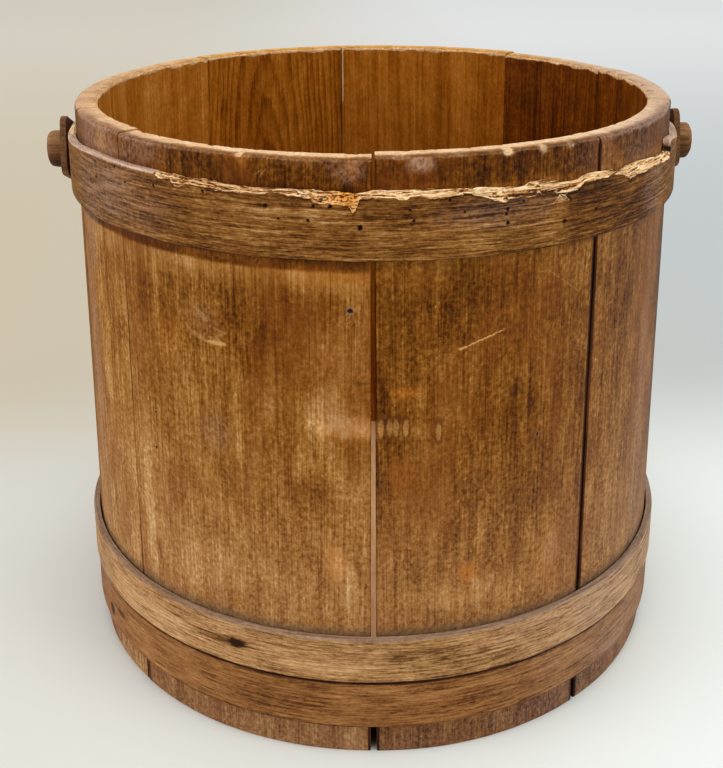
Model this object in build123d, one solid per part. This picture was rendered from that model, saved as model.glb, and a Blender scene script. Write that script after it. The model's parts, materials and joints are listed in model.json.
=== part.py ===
from build123d import *
import math
import os

# A coopered wooden firkin: staves on edge round a plank bottom, bound by three bentwood hoops,
# with a bentwood bail that turns on two round-headed pegs.
# Millimetres, +Z up. The origin is in the middle of the base, and the front faces -Y.
# Azimuths are in degrees from the front towards +X.

# Bucket
height = 298.5
rim_radius = 152.0
base_radius = 164.6
wall = 11.3
rim_round = 2.2
rim_wear = 1.6
overrun = 5.0

# Seams between the staves, and how far each one has opened at the rim and at the base
seam_azimuths = (-2.5, 37.6, 75.3, 111.0, 141.6, 185.2, 222.3, 261.8, 286.6, 309.3)
rim_gap = 1.3
base_gap = 3.2
rim_gap_shares = (1.0, 0.9, 0.2, 0.25, 0.2, 0.6, 0.25, 0.2, 0.3, 0.35)
base_gap_shares = (1.0, 0.85, 0.15, 0.1, 0.1, 0.2, 0.15, 0.1, 0.2, 0.4)
# How much lower each stave has worn than the tallest, the stave after each seam in turn
rim_wear_shares = (0.1, 0.3, 0.2, 0.55, 0.1, 0.0, 0.2, 0.3, 0.3, 0.8)

# Bottom
croze_height = 16.0
croze_width = 8.0
croze_depth = 4.2
bottom_thickness = 13.0
bottom_bevel_length = 9.0
bottom_seat = 0.15
board_gap = 0.2
board_joint_shares = (-0.3, 0.36)
dowel_radius = 4.0
dowel_length = 44.0
dowel_place_shares = (-0.5, 0.46)
dowel_end_room = 1.0
dowel_seat = 0.02

# Hoops: the room under or over each one, the strip's width and thickness, and its play on the staves
top_hoop_room = 12.5
top_hoop_width = 30.8
top_hoop_thickness = 3.9
top_hoop_play = 0.1
upper_hoop_room = 0.2
upper_hoop_width = 24.9
upper_hoop_thickness = 3.5
upper_hoop_play = 0.7
lower_hoop_room = 17.0
lower_hoop_width = 27.4
lower_hoop_thickness = 2.9
lower_hoop_play = 0.1
hoop_edge_round = 0.8

# Laps: where each hoop's inner end starts, and the outer end that covers it
top_lap_azimuth = 150.0
upper_lap_azimuth = 204.0
lower_lap_azimuth = 128.0
lap_length = 62.0
lap_root_length = 24.0
lap_thickness = 2.2
lap_clearance = 0.1
lap_end_gap = 1.5
tack_shank_radius = 0.9
tack_head_radius = 2.6
tack_head_thickness = 0.9
tack_bite = 5.0
tack_point_length = 2.5
tack_seat = 0.03
tack_along_shares = (0.25, 0.75)
tack_up_shares = (0.25, 0.75)

# Torn upper edge of the top hoop: azimuth, and how deep it has torn as a share of the deepest place
tear_depth = 7.2
tear_shares = (
    (-41.0, 0.0), (-38.5, 0.15), (-36.0, 0.35), (-33.5, 0.2), (-27.0, 0.18), (-21.0, 0.3),
    (-15.0, 0.38), (-11.0, 0.55), (-8.0, 0.6), (-6.5, 1.0), (-4.5, 0.95), (-3.5, 0.4), (3.0, 0.35),
    (8.0, 0.5), (11.0, 0.56), (15.0, 0.54), (18.0, 0.43), (23.0, 0.17), (27.0, 0.3), (31.5, 0.54),
    (36.0, 0.35), (40.0, 0.4), (45.0, 0.67), (50.0, 0.5), (55.0, 0.6), (58.5, 0.55), (62.0, 0.85),
    (63.5, 0.0),
)

# Pegs, which the bail turns on, and how far up the top hoop they go through it
pivot_rise = 13.3
shank_radius = 5.6
shank_seat = 0.02
shank_inner_reach = 3.0
head_radius = 9.6
head_thickness = 8.4
head_round = 3.6
head_play = 0.3
wedge_depth = 13.0
wedge_thick = 2.6
wedge_thin = 0.7

# Bail
bail_thickness = 3.2
bail_width = 31.0
bail_side_play = 0.9
bail_bow_room = 16.7
bail_tail = 14.5
bail_end_round = 6.5
bail_hole_play = 0.08
bail_rest_gap = 0.4

# What the sizes above give: the heights of the hoops' lower edges and of the pegs, and what fits them
lower_hoop_height = lower_hoop_room
upper_hoop_height = lower_hoop_height + lower_hoop_width + upper_hoop_room
top_hoop_height = height - top_hoop_room - top_hoop_width
pivot_height = top_hoop_height + pivot_rise
bail_half_span = base_radius + (rim_radius - base_radius) * top_hoop_height / height
bail_half_span += top_hoop_play + top_hoop_thickness + bail_side_play
bail_reach = bail_half_span + bail_bow_room
head_inner = bail_half_span + bail_thickness + head_play
taper = math.degrees(math.atan2(base_radius - rim_radius, height))
croze_radius = base_radius - wall + croze_depth
bottom_radius = croze_radius - bottom_seat


def outer_radius(z):
    """Radius of the staves' outer face at a height."""
    return base_radius + (rim_radius - base_radius) * z / height


def arc_degrees(length, z):
    """The turn that a length along the staves' outer face makes at a height."""
    return math.degrees(length / outer_radius(z))


def radial_plane(azimuth, tilt=0):
    """A plane at the origin that looks outwards along an azimuth, tilted up by some degrees."""
    turn, lift = math.radians(azimuth), math.radians(tilt)
    outwards = (math.sin(turn) * math.cos(lift), -math.cos(turn) * math.cos(lift), math.sin(lift))
    return Plane(origin=(0, 0, 0), x_dir=(math.cos(turn), math.sin(turn), 0), z_dir=outwards)


def sector(section, start, span):
    """Turns a section, drawn as radius and height, about the axis from an azimuth."""
    turned = revolve(Plane.XZ * section, Axis.Z, span)
    return Rot(0, 0, start - 90) * turned


def outline(points):
    return make_face(Polyline(*points, close=True))


def corner(section, x, y):
    """The vertex of a flat section nearest to a point."""
    return section.vertices().sort_by_distance((x, y, 0))[0]


def radial_cut(azimuth, points):
    """A prism from the axis outwards, through an outline drawn across an azimuth."""
    return radial_plane(azimuth) * extrude(outline(points), base_radius + overrun)


def rod(radius, start, end, z, y=0):
    """A round rod along X."""
    body = Cylinder(radius, end - start, align=(Align.CENTER, Align.CENTER, Align.MIN))
    return Pos(start, y, z) * Rot(0, 90, 0) * body


def peg_bores(clearance):
    """One bore on each side, right through the wall and the hoop."""
    radius = shank_radius + clearance
    reach = head_inner + overrun
    inner = outer_radius(pivot_height) - wall - overrun
    return [rod(radius, inner, reach, pivot_height), rod(radius, -reach, -inner, pivot_height)]


def tack_places(z_low, width, play, thickness, lap_azimuth):
    """Azimuth, height and stand-off from the staves of each tack's head on a lap."""
    stand_off = play + thickness + lap_thickness
    turn = arc_degrees(lap_length, z_low)
    return [
        (lap_azimuth + turn * along, z_low + width * up, stand_off)
        for along in tack_along_shares
        for up in tack_up_shares
    ]


def on_wall(azimuth, z, stand_off):
    """A plane square to the slanting wall, off the staves by some distance, looking outwards."""
    turn = math.radians(azimuth)
    radius = outer_radius(z) + stand_off
    flat = radial_plane(azimuth, tilt=taper)
    place = (radius * math.sin(turn), -radius * math.cos(turn), z)
    return Plane(origin=place, x_dir=flat.x_dir, z_dir=flat.z_dir)


def tack(place):
    shank_length = place[2] + tack_bite - tack_point_length
    point = Cone(0, tack_shank_radius, tack_point_length, align=(Align.CENTER, Align.CENTER, Align.MAX))
    shank = Cylinder(tack_shank_radius, shank_length, align=(Align.CENTER, Align.CENTER, Align.MAX))
    head = Cylinder(tack_head_radius, tack_head_thickness, align=(Align.CENTER, Align.CENTER, Align.MIN))
    head = fillet(head.edges().sort_by(Axis.Z)[-1], tack_head_thickness / 2)
    whole = head + shank + Pos(0, 0, -shank_length) * point
    return on_wall(*place) * Pos(0, 0, tack_seat) * whole


def tack_hole(place):
    radius = tack_shank_radius + tack_seat
    depth = place[2] + tack_bite + overrun
    hole = Cylinder(radius, depth, align=(Align.CENTER, Align.CENTER, Align.MAX))
    return on_wall(*place) * Pos(0, 0, overrun) * hole


top_tacks = tack_places(
    top_hoop_height, top_hoop_width, top_hoop_play, top_hoop_thickness, top_lap_azimuth
)
upper_tacks = tack_places(
    upper_hoop_height, upper_hoop_width, upper_hoop_play, upper_hoop_thickness, upper_lap_azimuth
)
lower_tacks = tack_places(
    lower_hoop_height, lower_hoop_width, lower_hoop_play, lower_hoop_thickness, lower_lap_azimuth
)


def stave_section(top):
    """Section of a stave as radius and height, with the groove for the bottom near its foot."""
    inner_base = base_radius - wall
    inner_top = outer_radius(top) - wall
    groove_top = croze_height + croze_width
    section = outline([
        (base_radius, 0),
        (outer_radius(top), top),
        (inner_top, top),
        (outer_radius(groove_top) - wall, groove_top),
        (croze_radius, groove_top),
        (croze_radius, croze_height),
        (outer_radius(croze_height) - wall, croze_height),
        (inner_base, 0),
    ])
    section = fillet(corner(section, outer_radius(top), top), rim_round)
    return fillet(corner(section, inner_top, top), rim_round)


def seam_cut(index):
    """The opened gap of one seam, wider at the foot than at the rim."""
    top = rim_gap * rim_gap_shares[index] / 2
    foot = base_gap * base_gap_shares[index] / 2
    points = [(-foot, -overrun), (foot, -overrun), (top, height + overrun), (-top, height + overrun)]
    return radial_cut(seam_azimuths[index], points)


def stave(index):
    """The stave between one seam and the next."""
    after = (index + 1) % len(seam_azimuths)
    start = seam_azimuths[index]
    span = (seam_azimuths[after] - start) % 360
    top = height - rim_wear * rim_wear_shares[index]
    body = sector(stave_section(top), start, span)
    holes = peg_bores(shank_seat) + [tack_hole(place) for place in top_tacks + upper_tacks + lower_tacks]
    return body - [seam_cut(index), seam_cut(after)] - holes


def bottom_disc():
    """The whole bottom, bevelled above and below to enter the groove."""
    low = croze_height - (bottom_thickness - croze_width) / 2
    high = low + bottom_thickness
    edge_low = croze_height + bottom_seat
    edge_high = croze_height + croze_width - bottom_seat
    flat = bottom_radius - bottom_bevel_length
    neck_low = outer_radius(edge_low) - wall - bottom_seat
    neck_high = outer_radius(edge_high) - wall - bottom_seat
    section = outline([
        (0, low), (flat, low), (neck_low, edge_low), (bottom_radius, edge_low),
        (bottom_radius, edge_high), (neck_high, edge_high), (flat, high), (0, high),
    ])
    return sector(section, 0, 360)


def dowel_middles():
    """Places of the dowels that join the boards."""
    z = croze_height + croze_width / 2
    return [
        (bottom_radius * joint, bottom_radius * along, z)
        for joint in board_joint_shares
        for along in dowel_place_shares
    ]


def bottom_board(index):
    """One of the boards of the bottom, which run from front to back."""
    disc = bottom_disc()
    edges = [-bottom_radius - overrun]
    edges += [bottom_radius * share for share in board_joint_shares]
    edges += [bottom_radius + overrun]
    left, right = edges[index] + board_gap / 2, edges[index + 1] - board_gap / 2
    span = 2 * (bottom_radius + overrun)
    slab = Pos((left + right) / 2, 0, 0) * Box(right - left, span, span)
    half = dowel_length / 2 + dowel_end_room
    holes = [rod(dowel_radius + dowel_seat, x - half, x + half, z, y) for x, y, z in dowel_middles()]
    return (disc & slab) - holes


def bottom_dowels():
    half = dowel_length / 2
    return Compound(children=[
        Part() + rod(dowel_radius, x - half, x + half, z, y) for x, y, z in dowel_middles()
    ])


def strip_section(z_low, width, stand_off, thickness, ease=0):
    """Section of a strip that lies round the slanting wall, its outer edges eased."""
    z_high = z_low + width
    low, high = outer_radius(z_low) + stand_off, outer_radius(z_high) + stand_off
    section = outline([
        (low, z_low), (low + thickness, z_low), (high + thickness, z_high), (high, z_high)
    ])
    if ease:
        section = fillet(corner(section, low + thickness, z_low), ease)
        section = fillet(corner(section, high + thickness, z_high), ease)
    return section


def hoop(z_low, width, play, thickness, lap_azimuth, tacks):
    """A bentwood strip bent round the staves, its outer end lapped over its inner end."""
    end_turn = arc_degrees(lap_end_gap, z_low)
    root_turn = arc_degrees(lap_root_length, z_low)
    lap_turn = arc_degrees(lap_length, z_low)
    ring = sector(
        strip_section(z_low, width, play, thickness, hoop_edge_round), lap_azimuth, 360 - end_turn
    )
    root_start = play + thickness / 2
    root = sector(
        strip_section(z_low, width, root_start, play + thickness + lap_thickness - root_start),
        lap_azimuth - end_turn - root_turn, root_turn,
    )
    free = sector(
        strip_section(z_low, width, play + thickness + lap_clearance, lap_thickness - lap_clearance),
        lap_azimuth - end_turn, end_turn + lap_turn,
    )
    return ring + root + free - [tack_hole(place) for place in tacks]


def tear_cut(start, end):
    """What is torn off the top hoop's upper edge between two places of the tear."""
    edge = top_hoop_height + top_hoop_width
    outside = outer_radius(top_hoop_height) + top_hoop_play + top_hoop_thickness
    half = outside * math.tan(math.radians(end[0] - start[0]) / 2)
    points = [
        (-half, edge + overrun), (-half, edge - tear_depth * start[1]),
        (half, edge - tear_depth * end[1]), (half, edge + overrun),
    ]
    return radial_cut((start[0] + end[0]) / 2, points)


def top_hoop():
    body = hoop(
        top_hoop_height, top_hoop_width, top_hoop_play, top_hoop_thickness, top_lap_azimuth, top_tacks
    )
    torn = [tear_cut(*ends) for ends in zip(tear_shares, tear_shares[1:])]
    return body - torn - peg_bores(shank_seat)


def wedge_blank(side):
    """The tapered slip that spreads a peg's inner end, on the right (1) or the left (-1)."""
    inner = outer_radius(pivot_height) - wall - shank_inner_reach
    thick, thin = wedge_thick / 2, wedge_thin / 2
    points = [(inner, -thick), (inner + wedge_depth, -thin), (inner + wedge_depth, thin), (inner, thick)]
    blank = extrude(Plane.XY * outline(points), shank_radius + overrun, both=True)
    body = Pos(0, 0, pivot_height) * blank
    return body if side > 0 else Rot(0, 0, 180) * body


def shank(side):
    inner = outer_radius(pivot_height) - wall - shank_inner_reach
    body = rod(shank_radius, inner, head_inner, pivot_height)
    return body if side > 0 else Rot(0, 0, 180) * body


def peg(side):
    """A wooden pin with a round head, driven through the bail, the hoop and a stave."""
    head = rod(head_radius, head_inner, head_inner + head_thickness, pivot_height)
    head = fillet(head.edges().sort_by(Axis.X)[-1], head_round)
    head = head if side > 0 else Rot(0, 0, 180) * head
    return shank(side) + head - wedge_blank(side)


def peg_wedge(side):
    return shank(side) & wedge_blank(side)


def bail_gap(angle, share):
    """Gap between the lower inner edge of the bail and the wall, at a share of its quarter bow."""
    turn, drop = math.radians(90 * share), math.radians(angle)
    out = bail_reach * math.sin(turn)
    half = bail_width / 2
    x = bail_half_span * math.cos(turn)
    y = out * math.cos(drop) - half * math.sin(drop)
    z = pivot_height - out * math.sin(drop) - half * math.cos(drop)
    proud = top_hoop_play + top_hoop_thickness if z > top_hoop_height else 0
    return math.hypot(x, y) - outer_radius(z) - proud


def bail_rest_angle():
    """How far below level the bail hangs when its bow comes down on the back of the staves."""
    steps = 40
    steepest = 60
    shares = [step / steps for step in range(steps // 4, steps + 1)]
    low, high = 0, steepest
    for _ in range(steps):
        middle = (low + high) / 2
        clear = min(bail_gap(middle, share) for share in shares) > bail_rest_gap
        low, high = (middle, high) if clear else (low, middle)
    return low


def bail():
    """A flat strip bent to half an oval with short straight ends, hung down behind the bucket."""
    outer_span = bail_half_span + bail_thickness
    ring = Ellipse(outer_span, bail_reach + bail_thickness) - Ellipse(bail_half_span, bail_reach)
    side = 2 * (bail_reach + overrun)
    bow = ring - Pos(0, -side / 2) * Rectangle(side, side)
    middle = bail_half_span + bail_thickness / 2
    for x in (-middle, middle):
        bow += Pos(x, -bail_tail / 2) * Rectangle(bail_thickness, bail_tail)
    strip = extrude(bow, bail_width / 2, both=True)
    corners = strip.edges().filter_by(Axis.X).group_by(Axis.Y)[0]
    strip = fillet(corners, bail_end_round)
    for bore in (-1, 1):
        strip -= Pos(bore * middle, 0, 0) * Rot(0, 90, 0) * Cylinder(
            shank_radius + bail_hole_play, bail_thickness + overrun
        )
    drop = math.radians(bail_rest_angle())
    hung = Plane(origin=(0, 0, pivot_height), x_dir=(1, 0, 0), z_dir=(0, math.sin(drop), math.cos(drop)))
    return hung * strip


def write(name, shape):
    solids = shape.solids()
    whole = solids[0] if len(solids) == 1 else Compound(children=list(solids))
    whole.label = name
    export_step(whole, os.path.join("parts", name + ".step"))


os.makedirs("parts", exist_ok=True)
for number in range(len(seam_azimuths)):
    write(f"stave_{number + 1:02d}", stave(number))
for number in range(len(board_joint_shares) + 1):
    write(f"bottom_board_{number + 1}", bottom_board(number))
write("bottom_dowels", bottom_dowels())
write("top_hoop", top_hoop())
write("upper_bottom_hoop", hoop(
    upper_hoop_height, upper_hoop_width, upper_hoop_play, upper_hoop_thickness, upper_lap_azimuth,
    upper_tacks,
))
write("lower_bottom_hoop", hoop(
    lower_hoop_height, lower_hoop_width, lower_hoop_play, lower_hoop_thickness, lower_lap_azimuth,
    lower_tacks,
))
write("top_hoop_tacks", Compound(children=[tack(place) for place in top_tacks]))
write("upper_hoop_tacks", Compound(children=[tack(place) for place in upper_tacks]))
write("lower_hoop_tacks", Compound(children=[tack(place) for place in lower_tacks]))
for side_name, side in (("right", 1), ("left", -1)):
    write(f"{side_name}_peg", peg(side))
    write(f"{side_name}_peg_wedge", peg_wedge(side))
write("bail", bail())
print("bail half span", round(bail_half_span, 2), "reach", round(bail_reach, 2))
print("bail rest angle", round(bail_rest_angle(), 2), "head inner face", round(head_inner, 2))
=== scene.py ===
import json
import math
from typing import NamedTuple

import bpy
import numpy as np
from mathutils import Matrix, Vector

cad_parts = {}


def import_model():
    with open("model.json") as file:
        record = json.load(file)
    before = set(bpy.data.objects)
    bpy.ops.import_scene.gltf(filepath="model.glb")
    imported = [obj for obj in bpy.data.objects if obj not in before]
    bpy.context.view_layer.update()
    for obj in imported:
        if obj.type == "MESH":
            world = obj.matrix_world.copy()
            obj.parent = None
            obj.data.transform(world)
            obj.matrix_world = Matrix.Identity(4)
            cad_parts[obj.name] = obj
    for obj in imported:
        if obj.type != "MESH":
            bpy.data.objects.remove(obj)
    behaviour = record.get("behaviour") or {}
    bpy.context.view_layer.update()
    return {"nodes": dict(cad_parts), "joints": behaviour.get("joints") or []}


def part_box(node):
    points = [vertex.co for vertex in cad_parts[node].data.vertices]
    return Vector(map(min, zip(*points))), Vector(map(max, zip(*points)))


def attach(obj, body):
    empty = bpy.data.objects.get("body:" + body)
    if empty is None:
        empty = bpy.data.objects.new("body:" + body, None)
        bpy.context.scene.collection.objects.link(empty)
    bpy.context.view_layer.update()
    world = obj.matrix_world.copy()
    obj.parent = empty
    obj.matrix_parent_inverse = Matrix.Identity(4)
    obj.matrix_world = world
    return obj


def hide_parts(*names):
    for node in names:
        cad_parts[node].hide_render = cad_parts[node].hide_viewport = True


# An old coopered firkin: ten pine staves, a plank bottom, three bentwood hoops and a bentwood bail.
# Lengths are in millimetres until a mesh is made. Azimuths are in degrees from the front towards +X.
# Places read off the photograph are in its own pixels, and seen() puts them on the wood.

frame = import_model()
MM = 0.001

# Camera
photo_width, photo_height = 723, 768
sensor_long_side = 36.0
focal_px = 1120.8
camera_azimuth, camera_distance, camera_height = -2.7, 597.5, 405.2
camera_heading, camera_pitch, camera_roll = -0.6, 24.96, -0.33

# Staves
wall = 11.3
croze_height, croze_width, croze_depth = 16.0, 8.0, 4.2
rim_round, rim_inner_round = 2.0, 1.5
seam_ease, foot_ease = 0.55, 0.9
rim_zone = 13.0
column_step, row_step, rim_row_step = 1.3, 2.6, 0.6

# Hoops: play on the staves and thickness
top_hoop_play, top_hoop_thickness = 0.1, 3.9
upper_hoop_play, upper_hoop_thickness = 0.7, 3.5
lower_hoop_play, lower_hoop_thickness = 0.1, 2.9
lap_length, lap_root_length, lap_thickness, lap_clearance, lap_end_gap = 62.0, 24.0, 2.2, 0.1, 1.5
lap_end_taper, lap_taper_length = 0.7, 12.0
# How far the top hoop's face stands off the staves, and how far the wood of its break lies behind that face
top_stand_off = top_hoop_play + top_hoop_thickness
tear_setback = 1.0
hoop_ease, hoop_end_round = 0.8, 3.0
hoop_column_step, hoop_row_step, torn_column_step = 1.8, 1.0, 0.6

# Bottom
bottom_bevel_length, bottom_seat = 9.0, 0.15
board_ease = 0.6
# Where each board's pith lies across the bottom
board_piths = (-30.0, 15.0, 70.0)
board_column_step, board_row_step = 3.0, 4.0

# Bail and pegs
bail_thickness, bail_width, bail_tail, bail_end_round, bail_ease = 3.2, 31.0, 14.5, 6.5, 0.7
bail_column_step, bail_row_step = 2.2, 1.4
bail_end_steps = (0, 0.3, 0.7, 1.2, 1.8, 2.5, 3.3, 4.2, 5.2, 6.4, 8.0)
bail_edge_steps = (0, 0.2, 0.5, 0.9, 1.4, 2.1, 3.0, 4.2, 5.6, 7.0)
shank_radius = 5.6
head_radius, head_length = 9.6, 8.4
# The head's outline, as shares of its length and radius
head_outline = (
    (0.0, 0.8), (0.0, 0.94), (0.05, 0.99), (0.14, 1.0), (0.5, 1.0), (0.72, 0.985), (0.84, 0.955),
    (0.92, 0.9), (0.97, 0.83), (0.992, 0.72), (1.0, 0.5), (1.0, 0.03),
)
peg_places, peg_sides = 90, 72


def node_box(name):
    """The lowest and highest corner of a frame node, in millimetres."""
    return [np.array(corner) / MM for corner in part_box(name)]


def node_points(name):
    """A frame node's vertices, in millimetres."""
    mesh = frame["nodes"][name].data
    flat = np.empty(len(mesh.vertices) * 3)
    mesh.vertices.foreach_get("co", flat)
    return flat.reshape(-1, 3) / MM


def azimuth_of(points):
    return np.degrees(np.arctan2(points[..., 0], -points[..., 1]))


def radius_of(points):
    return np.hypot(points[..., 0], points[..., 1])


stave_names = [f"stave_{number:02d}" for number in range(1, 11)]
stave_points = {name: node_points(name) for name in stave_names}
all_stave_points = np.concatenate(list(stave_points.values()))
height = all_stave_points[:, 2].max()
base_radius = radius_of(all_stave_points).max()
upper_points = all_stave_points[all_stave_points[:, 2] > height / 2]
lean = ((base_radius - radius_of(upper_points)) / upper_points[:, 2]).min()
pivot = np.array(frame["joints"][0]["pos_m"]) / MM


def outer_radius(z):
    """Radius of the staves' outer face at a height."""
    return base_radius - lean * z


def round_about(azimuth, radius, z):
    """Points at azimuths, radii and heights."""
    turn = np.radians(azimuth)
    return np.stack(np.broadcast_arrays(radius * np.sin(turn), -radius * np.cos(turn), z), -1)


# Camera geometry, which also puts the photograph's pixels on the wood
def camera_axes():
    """The camera's right, up and forward directions."""
    heading = math.radians(camera_heading - camera_azimuth)
    pitch, roll = math.radians(camera_pitch), math.radians(camera_roll)
    right = np.array([math.cos(heading), -math.sin(heading), 0.0])
    up = np.array([
        math.sin(heading) * math.sin(pitch), math.cos(heading) * math.sin(pitch), math.cos(pitch)
    ])
    forward = np.cross(up, right)
    turned_right = math.cos(roll) * right + math.sin(roll) * up
    turned_up = math.cos(roll) * up - math.sin(roll) * right
    return turned_right, turned_up, forward


camera_place = round_about(camera_azimuth, camera_distance, camera_height)
camera_right, camera_up, camera_forward = camera_axes()


def seen(x, y, stand_off=0.0):
    """Azimuth and height where a pixel of the photograph meets the wall, or a face that stands off it."""
    ray = camera_forward + camera_right * (x - photo_width / 2) / focal_px
    ray = ray - camera_up * (y - photo_height / 2) / focal_px
    reach = base_radius + stand_off - lean * camera_place[2]
    a = ray[0] ** 2 + ray[1] ** 2 - (lean * ray[2]) ** 2
    b = 2 * (camera_place[0] * ray[0] + camera_place[1] * ray[1] + lean * ray[2] * reach)
    c = camera_place[0] ** 2 + camera_place[1] ** 2 - reach ** 2
    step = (-b - math.sqrt(max(b * b - 4 * a * c, 0.0))) / (2 * a)
    place = camera_place + step * ray
    return float(azimuth_of(place)), float(place[2])


def on_wall(x, y, stand_off=0.0):
    """The same place as millimetres round the wall from the front, and height."""
    azimuth, z = seen(x, y, stand_off)
    return math.radians(azimuth) * outer_radius(z), z


def spots_on_wall(table, stand_off=0.0):
    """A table of pixels and radii, with the pixels put on the wall."""
    return [(on_wall(*pixel, stand_off), radius) for pixel, radius in table]


def strokes_on_wall(table, stand_off=0.0):
    """A table of strokes, each from pixel to pixel with its half width, with the pixels put on the wall."""
    return [(on_wall(*start, stand_off), on_wall(*end, stand_off), half) for start, end, half in table]


# Noise that is the same on every run
def lattice(cell, seed):
    """A repeatable number from 0 to 1 for each whole-numbered place."""
    mixed = cell[..., 0] * 374761393 + cell[..., 1] * 668265263 + cell[..., 2] * 974634777
    mixed = (mixed + seed * 1274126177) & 0xFFFFFFFF
    mixed = ((mixed ^ (mixed >> 13)) * 1103515245) & 0xFFFFFFFF
    return ((mixed ^ (mixed >> 16)) & 0xFFFF) / 0xFFFF


def noise(x, y=0.0, z=0.0, seed=0):
    """Smooth noise from -1 to 1 over places that are a unit apart."""
    points = np.stack(np.broadcast_arrays(x, y, z), -1).astype(float)
    cell = np.floor(points).astype(np.int64)
    part = points - cell
    part = part * part * (3 - 2 * part)
    total = 0.0
    for corner in range(8):
        offset = np.array([(corner >> axis) & 1 for axis in range(3)])
        weight = np.prod(np.where(offset == 1, part, 1 - part), -1)
        total = total + weight * lattice(cell + offset, seed)
    return 2 * total - 1


def rough(x, y=0.0, z=0.0, seed=0, octaves=3):
    """Noise with finer noise upon it, from about -1 to 1."""
    return sum(noise(x * 2 ** k, y * 2 ** k, z * 2 ** k, seed + k) / 2 ** k for k in range(octaves)) / 1.6


def smooth(value, low, high):
    """From 0 below low to 1 above high, with no corner."""
    share = np.clip((value - low) / (high - low), 0, 1)
    return share * share * (3 - 2 * share)


def fade(value, low, high):
    """From 1 below low to 0 above high."""
    return 1 - smooth(value, low, high)


def band(value, start, full, still_full, end):
    """From 0 up to 1 and down to 0 again."""
    return smooth(value, start, full) * fade(value, still_full, end)


def ease(first, second, radius):
    """Rounds the edge where two faces meet, from the distance inwards from each face."""
    near = (first < radius) & (second < radius)
    a, b = radius - first, radius - second
    length = np.hypot(a, b)
    pull = np.where(near & (length > radius), radius / np.maximum(length, 1e-9), 1.0)
    return radius - a * pull, radius - b * pull


def steps(length, step, fine=()):
    """Places along a length: fine ones in from both ends, then even ones between."""
    ends = [value for value in fine if value < length / 3]
    low = ends[-1] if ends else 0.0
    count = max(int(math.ceil((length - 2 * low) / step)), 1)
    middle = np.linspace(low, length - low, count + 1)
    return np.unique(np.concatenate([ends, middle, [length - value for value in ends], [0.0, length]]))


def block_skin(along, deep, up):
    """Coordinates and outward quads of a block's skin. Depth grows inwards, away from its outer face."""
    shape = (len(along), len(deep), len(up))
    skin = np.zeros(shape, bool)
    skin[[0, -1]] = True
    skin[:, [0, -1]] = True
    skin[:, :, [0, -1]] = True
    number = np.full(shape, -1)
    number[skin] = np.arange(skin.sum())
    sides = [
        (number[0], True), (number[-1], False), (number[:, 0], True), (number[:, -1], False),
        (number[:, :, 0], False), (number[:, :, -1], True),
    ]
    faces = []
    for index, (side, flip) in enumerate(sides):
        quads = np.stack([side[:-1, :-1], side[1:, :-1], side[1:, 1:], side[:-1, 1:]], -1).reshape(-1, 4)
        outward = flip if index < 2 else not flip
        faces.append(quads[:, ::-1] if outward else quads)
    mesh = np.meshgrid(along, deep, up, indexing="ij")
    return [axis[skin] for axis in mesh], np.concatenate(faces)


def add_object(name, data):
    """A new object in the scene."""
    made = bpy.data.objects.new(name, data)
    bpy.context.scene.collection.objects.link(made)
    return made


def make_mesh(name, points, faces, looks):
    """A smooth-shaded object from points in millimetres. Looks are values at its vertices."""
    data = bpy.data.meshes.new(name)
    data.from_pydata((points * MM).tolist(), [], [list(face) for face in faces])
    data.update()
    data.shade_smooth()
    for key, values in looks.items():
        values = np.asarray(values, np.float32)
        kind, field = ("FLOAT_VECTOR", "vector") if values.ndim == 2 else ("FLOAT", "value")
        data.attributes.new(key, kind, "POINT").data.foreach_set(field, values.ravel())
    return add_object(name, data)


def place_piece(piece, body, slot, material, *replaced):
    """Gives a piece its material, and tells the frame what it rides on and what it replaces. Its slot is not
    used.
    """
    piece.data.materials.append(material)
    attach(piece, body)
    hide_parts(*replaced)


# Staves
# Each one's grain: where its pith lies across and in depth, the pith's lean and the rings' width, then how
# much paler than the rest it is outside and inside. These tones are partly each stave's own and partly
# painted shade: the third and fourth staves are much darker inside, as painted shade.
stave_grain = (
    (34.0, 62.0, 0.03, 4.6, -0.08, 0.0), (-60.0, 40.0, 0.02, 4.0, -0.04, 0.0),
    (10.0, 80.0, 0.04, 4.4, -0.04, -0.36), (-90.0, 30.0, 0.0, 3.8, -0.05, -0.4),
    (-150.0, 40.0, 0.0, 5.4, 0.0, 0.0), (5.0, 19.1, 0.107, 3.4, 0.02, -0.03),
    (110.0, 30.0, 0.0, 4.2, 0.05, 0.08), (-20.0, 70.0, 0.03, 4.0, 0.03, 0.1),
    (60.0, 50.0, 0.0, 3.6, 0.12, 0.0), (-70.0, 55.0, 0.015, 4.4, 0.05, 0.0),
)
# How strongly the rings show on each stave's inside
inside_rings = (0.05, 0.05, 0.06, 0.08, 0.1, 0.22, 0.06, 0.08, 0.05, 0.05)
# The stave before the back seam: its last side is swollen near the top and painted pale there, partly as bare
# wood and partly as painted light on the side face that shows through the seam
pale_side_stave, pale_side_width, pale_side_bottom, pale_side_swell = 5, 1.3, 264.0, 0.6
# The seam between these two staves is painted wide and dark with shade, widest at the foot
wide_seam_first, wide_seam_second = 1, 2
# Above the height of this pixel the seams' side faces are painted with shade. Below it the pale bottom boards
# show through the front seam.
seam_light_pixel = (374, 448)
seam_light_blend = 6.0
# Staves whose first side or last side meets its neighbour tightly above this height
tight_first_sides, tight_last_sides, tight_from, tight_ease = (10, 9), (9, 8), 88.0, 0.12
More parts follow.
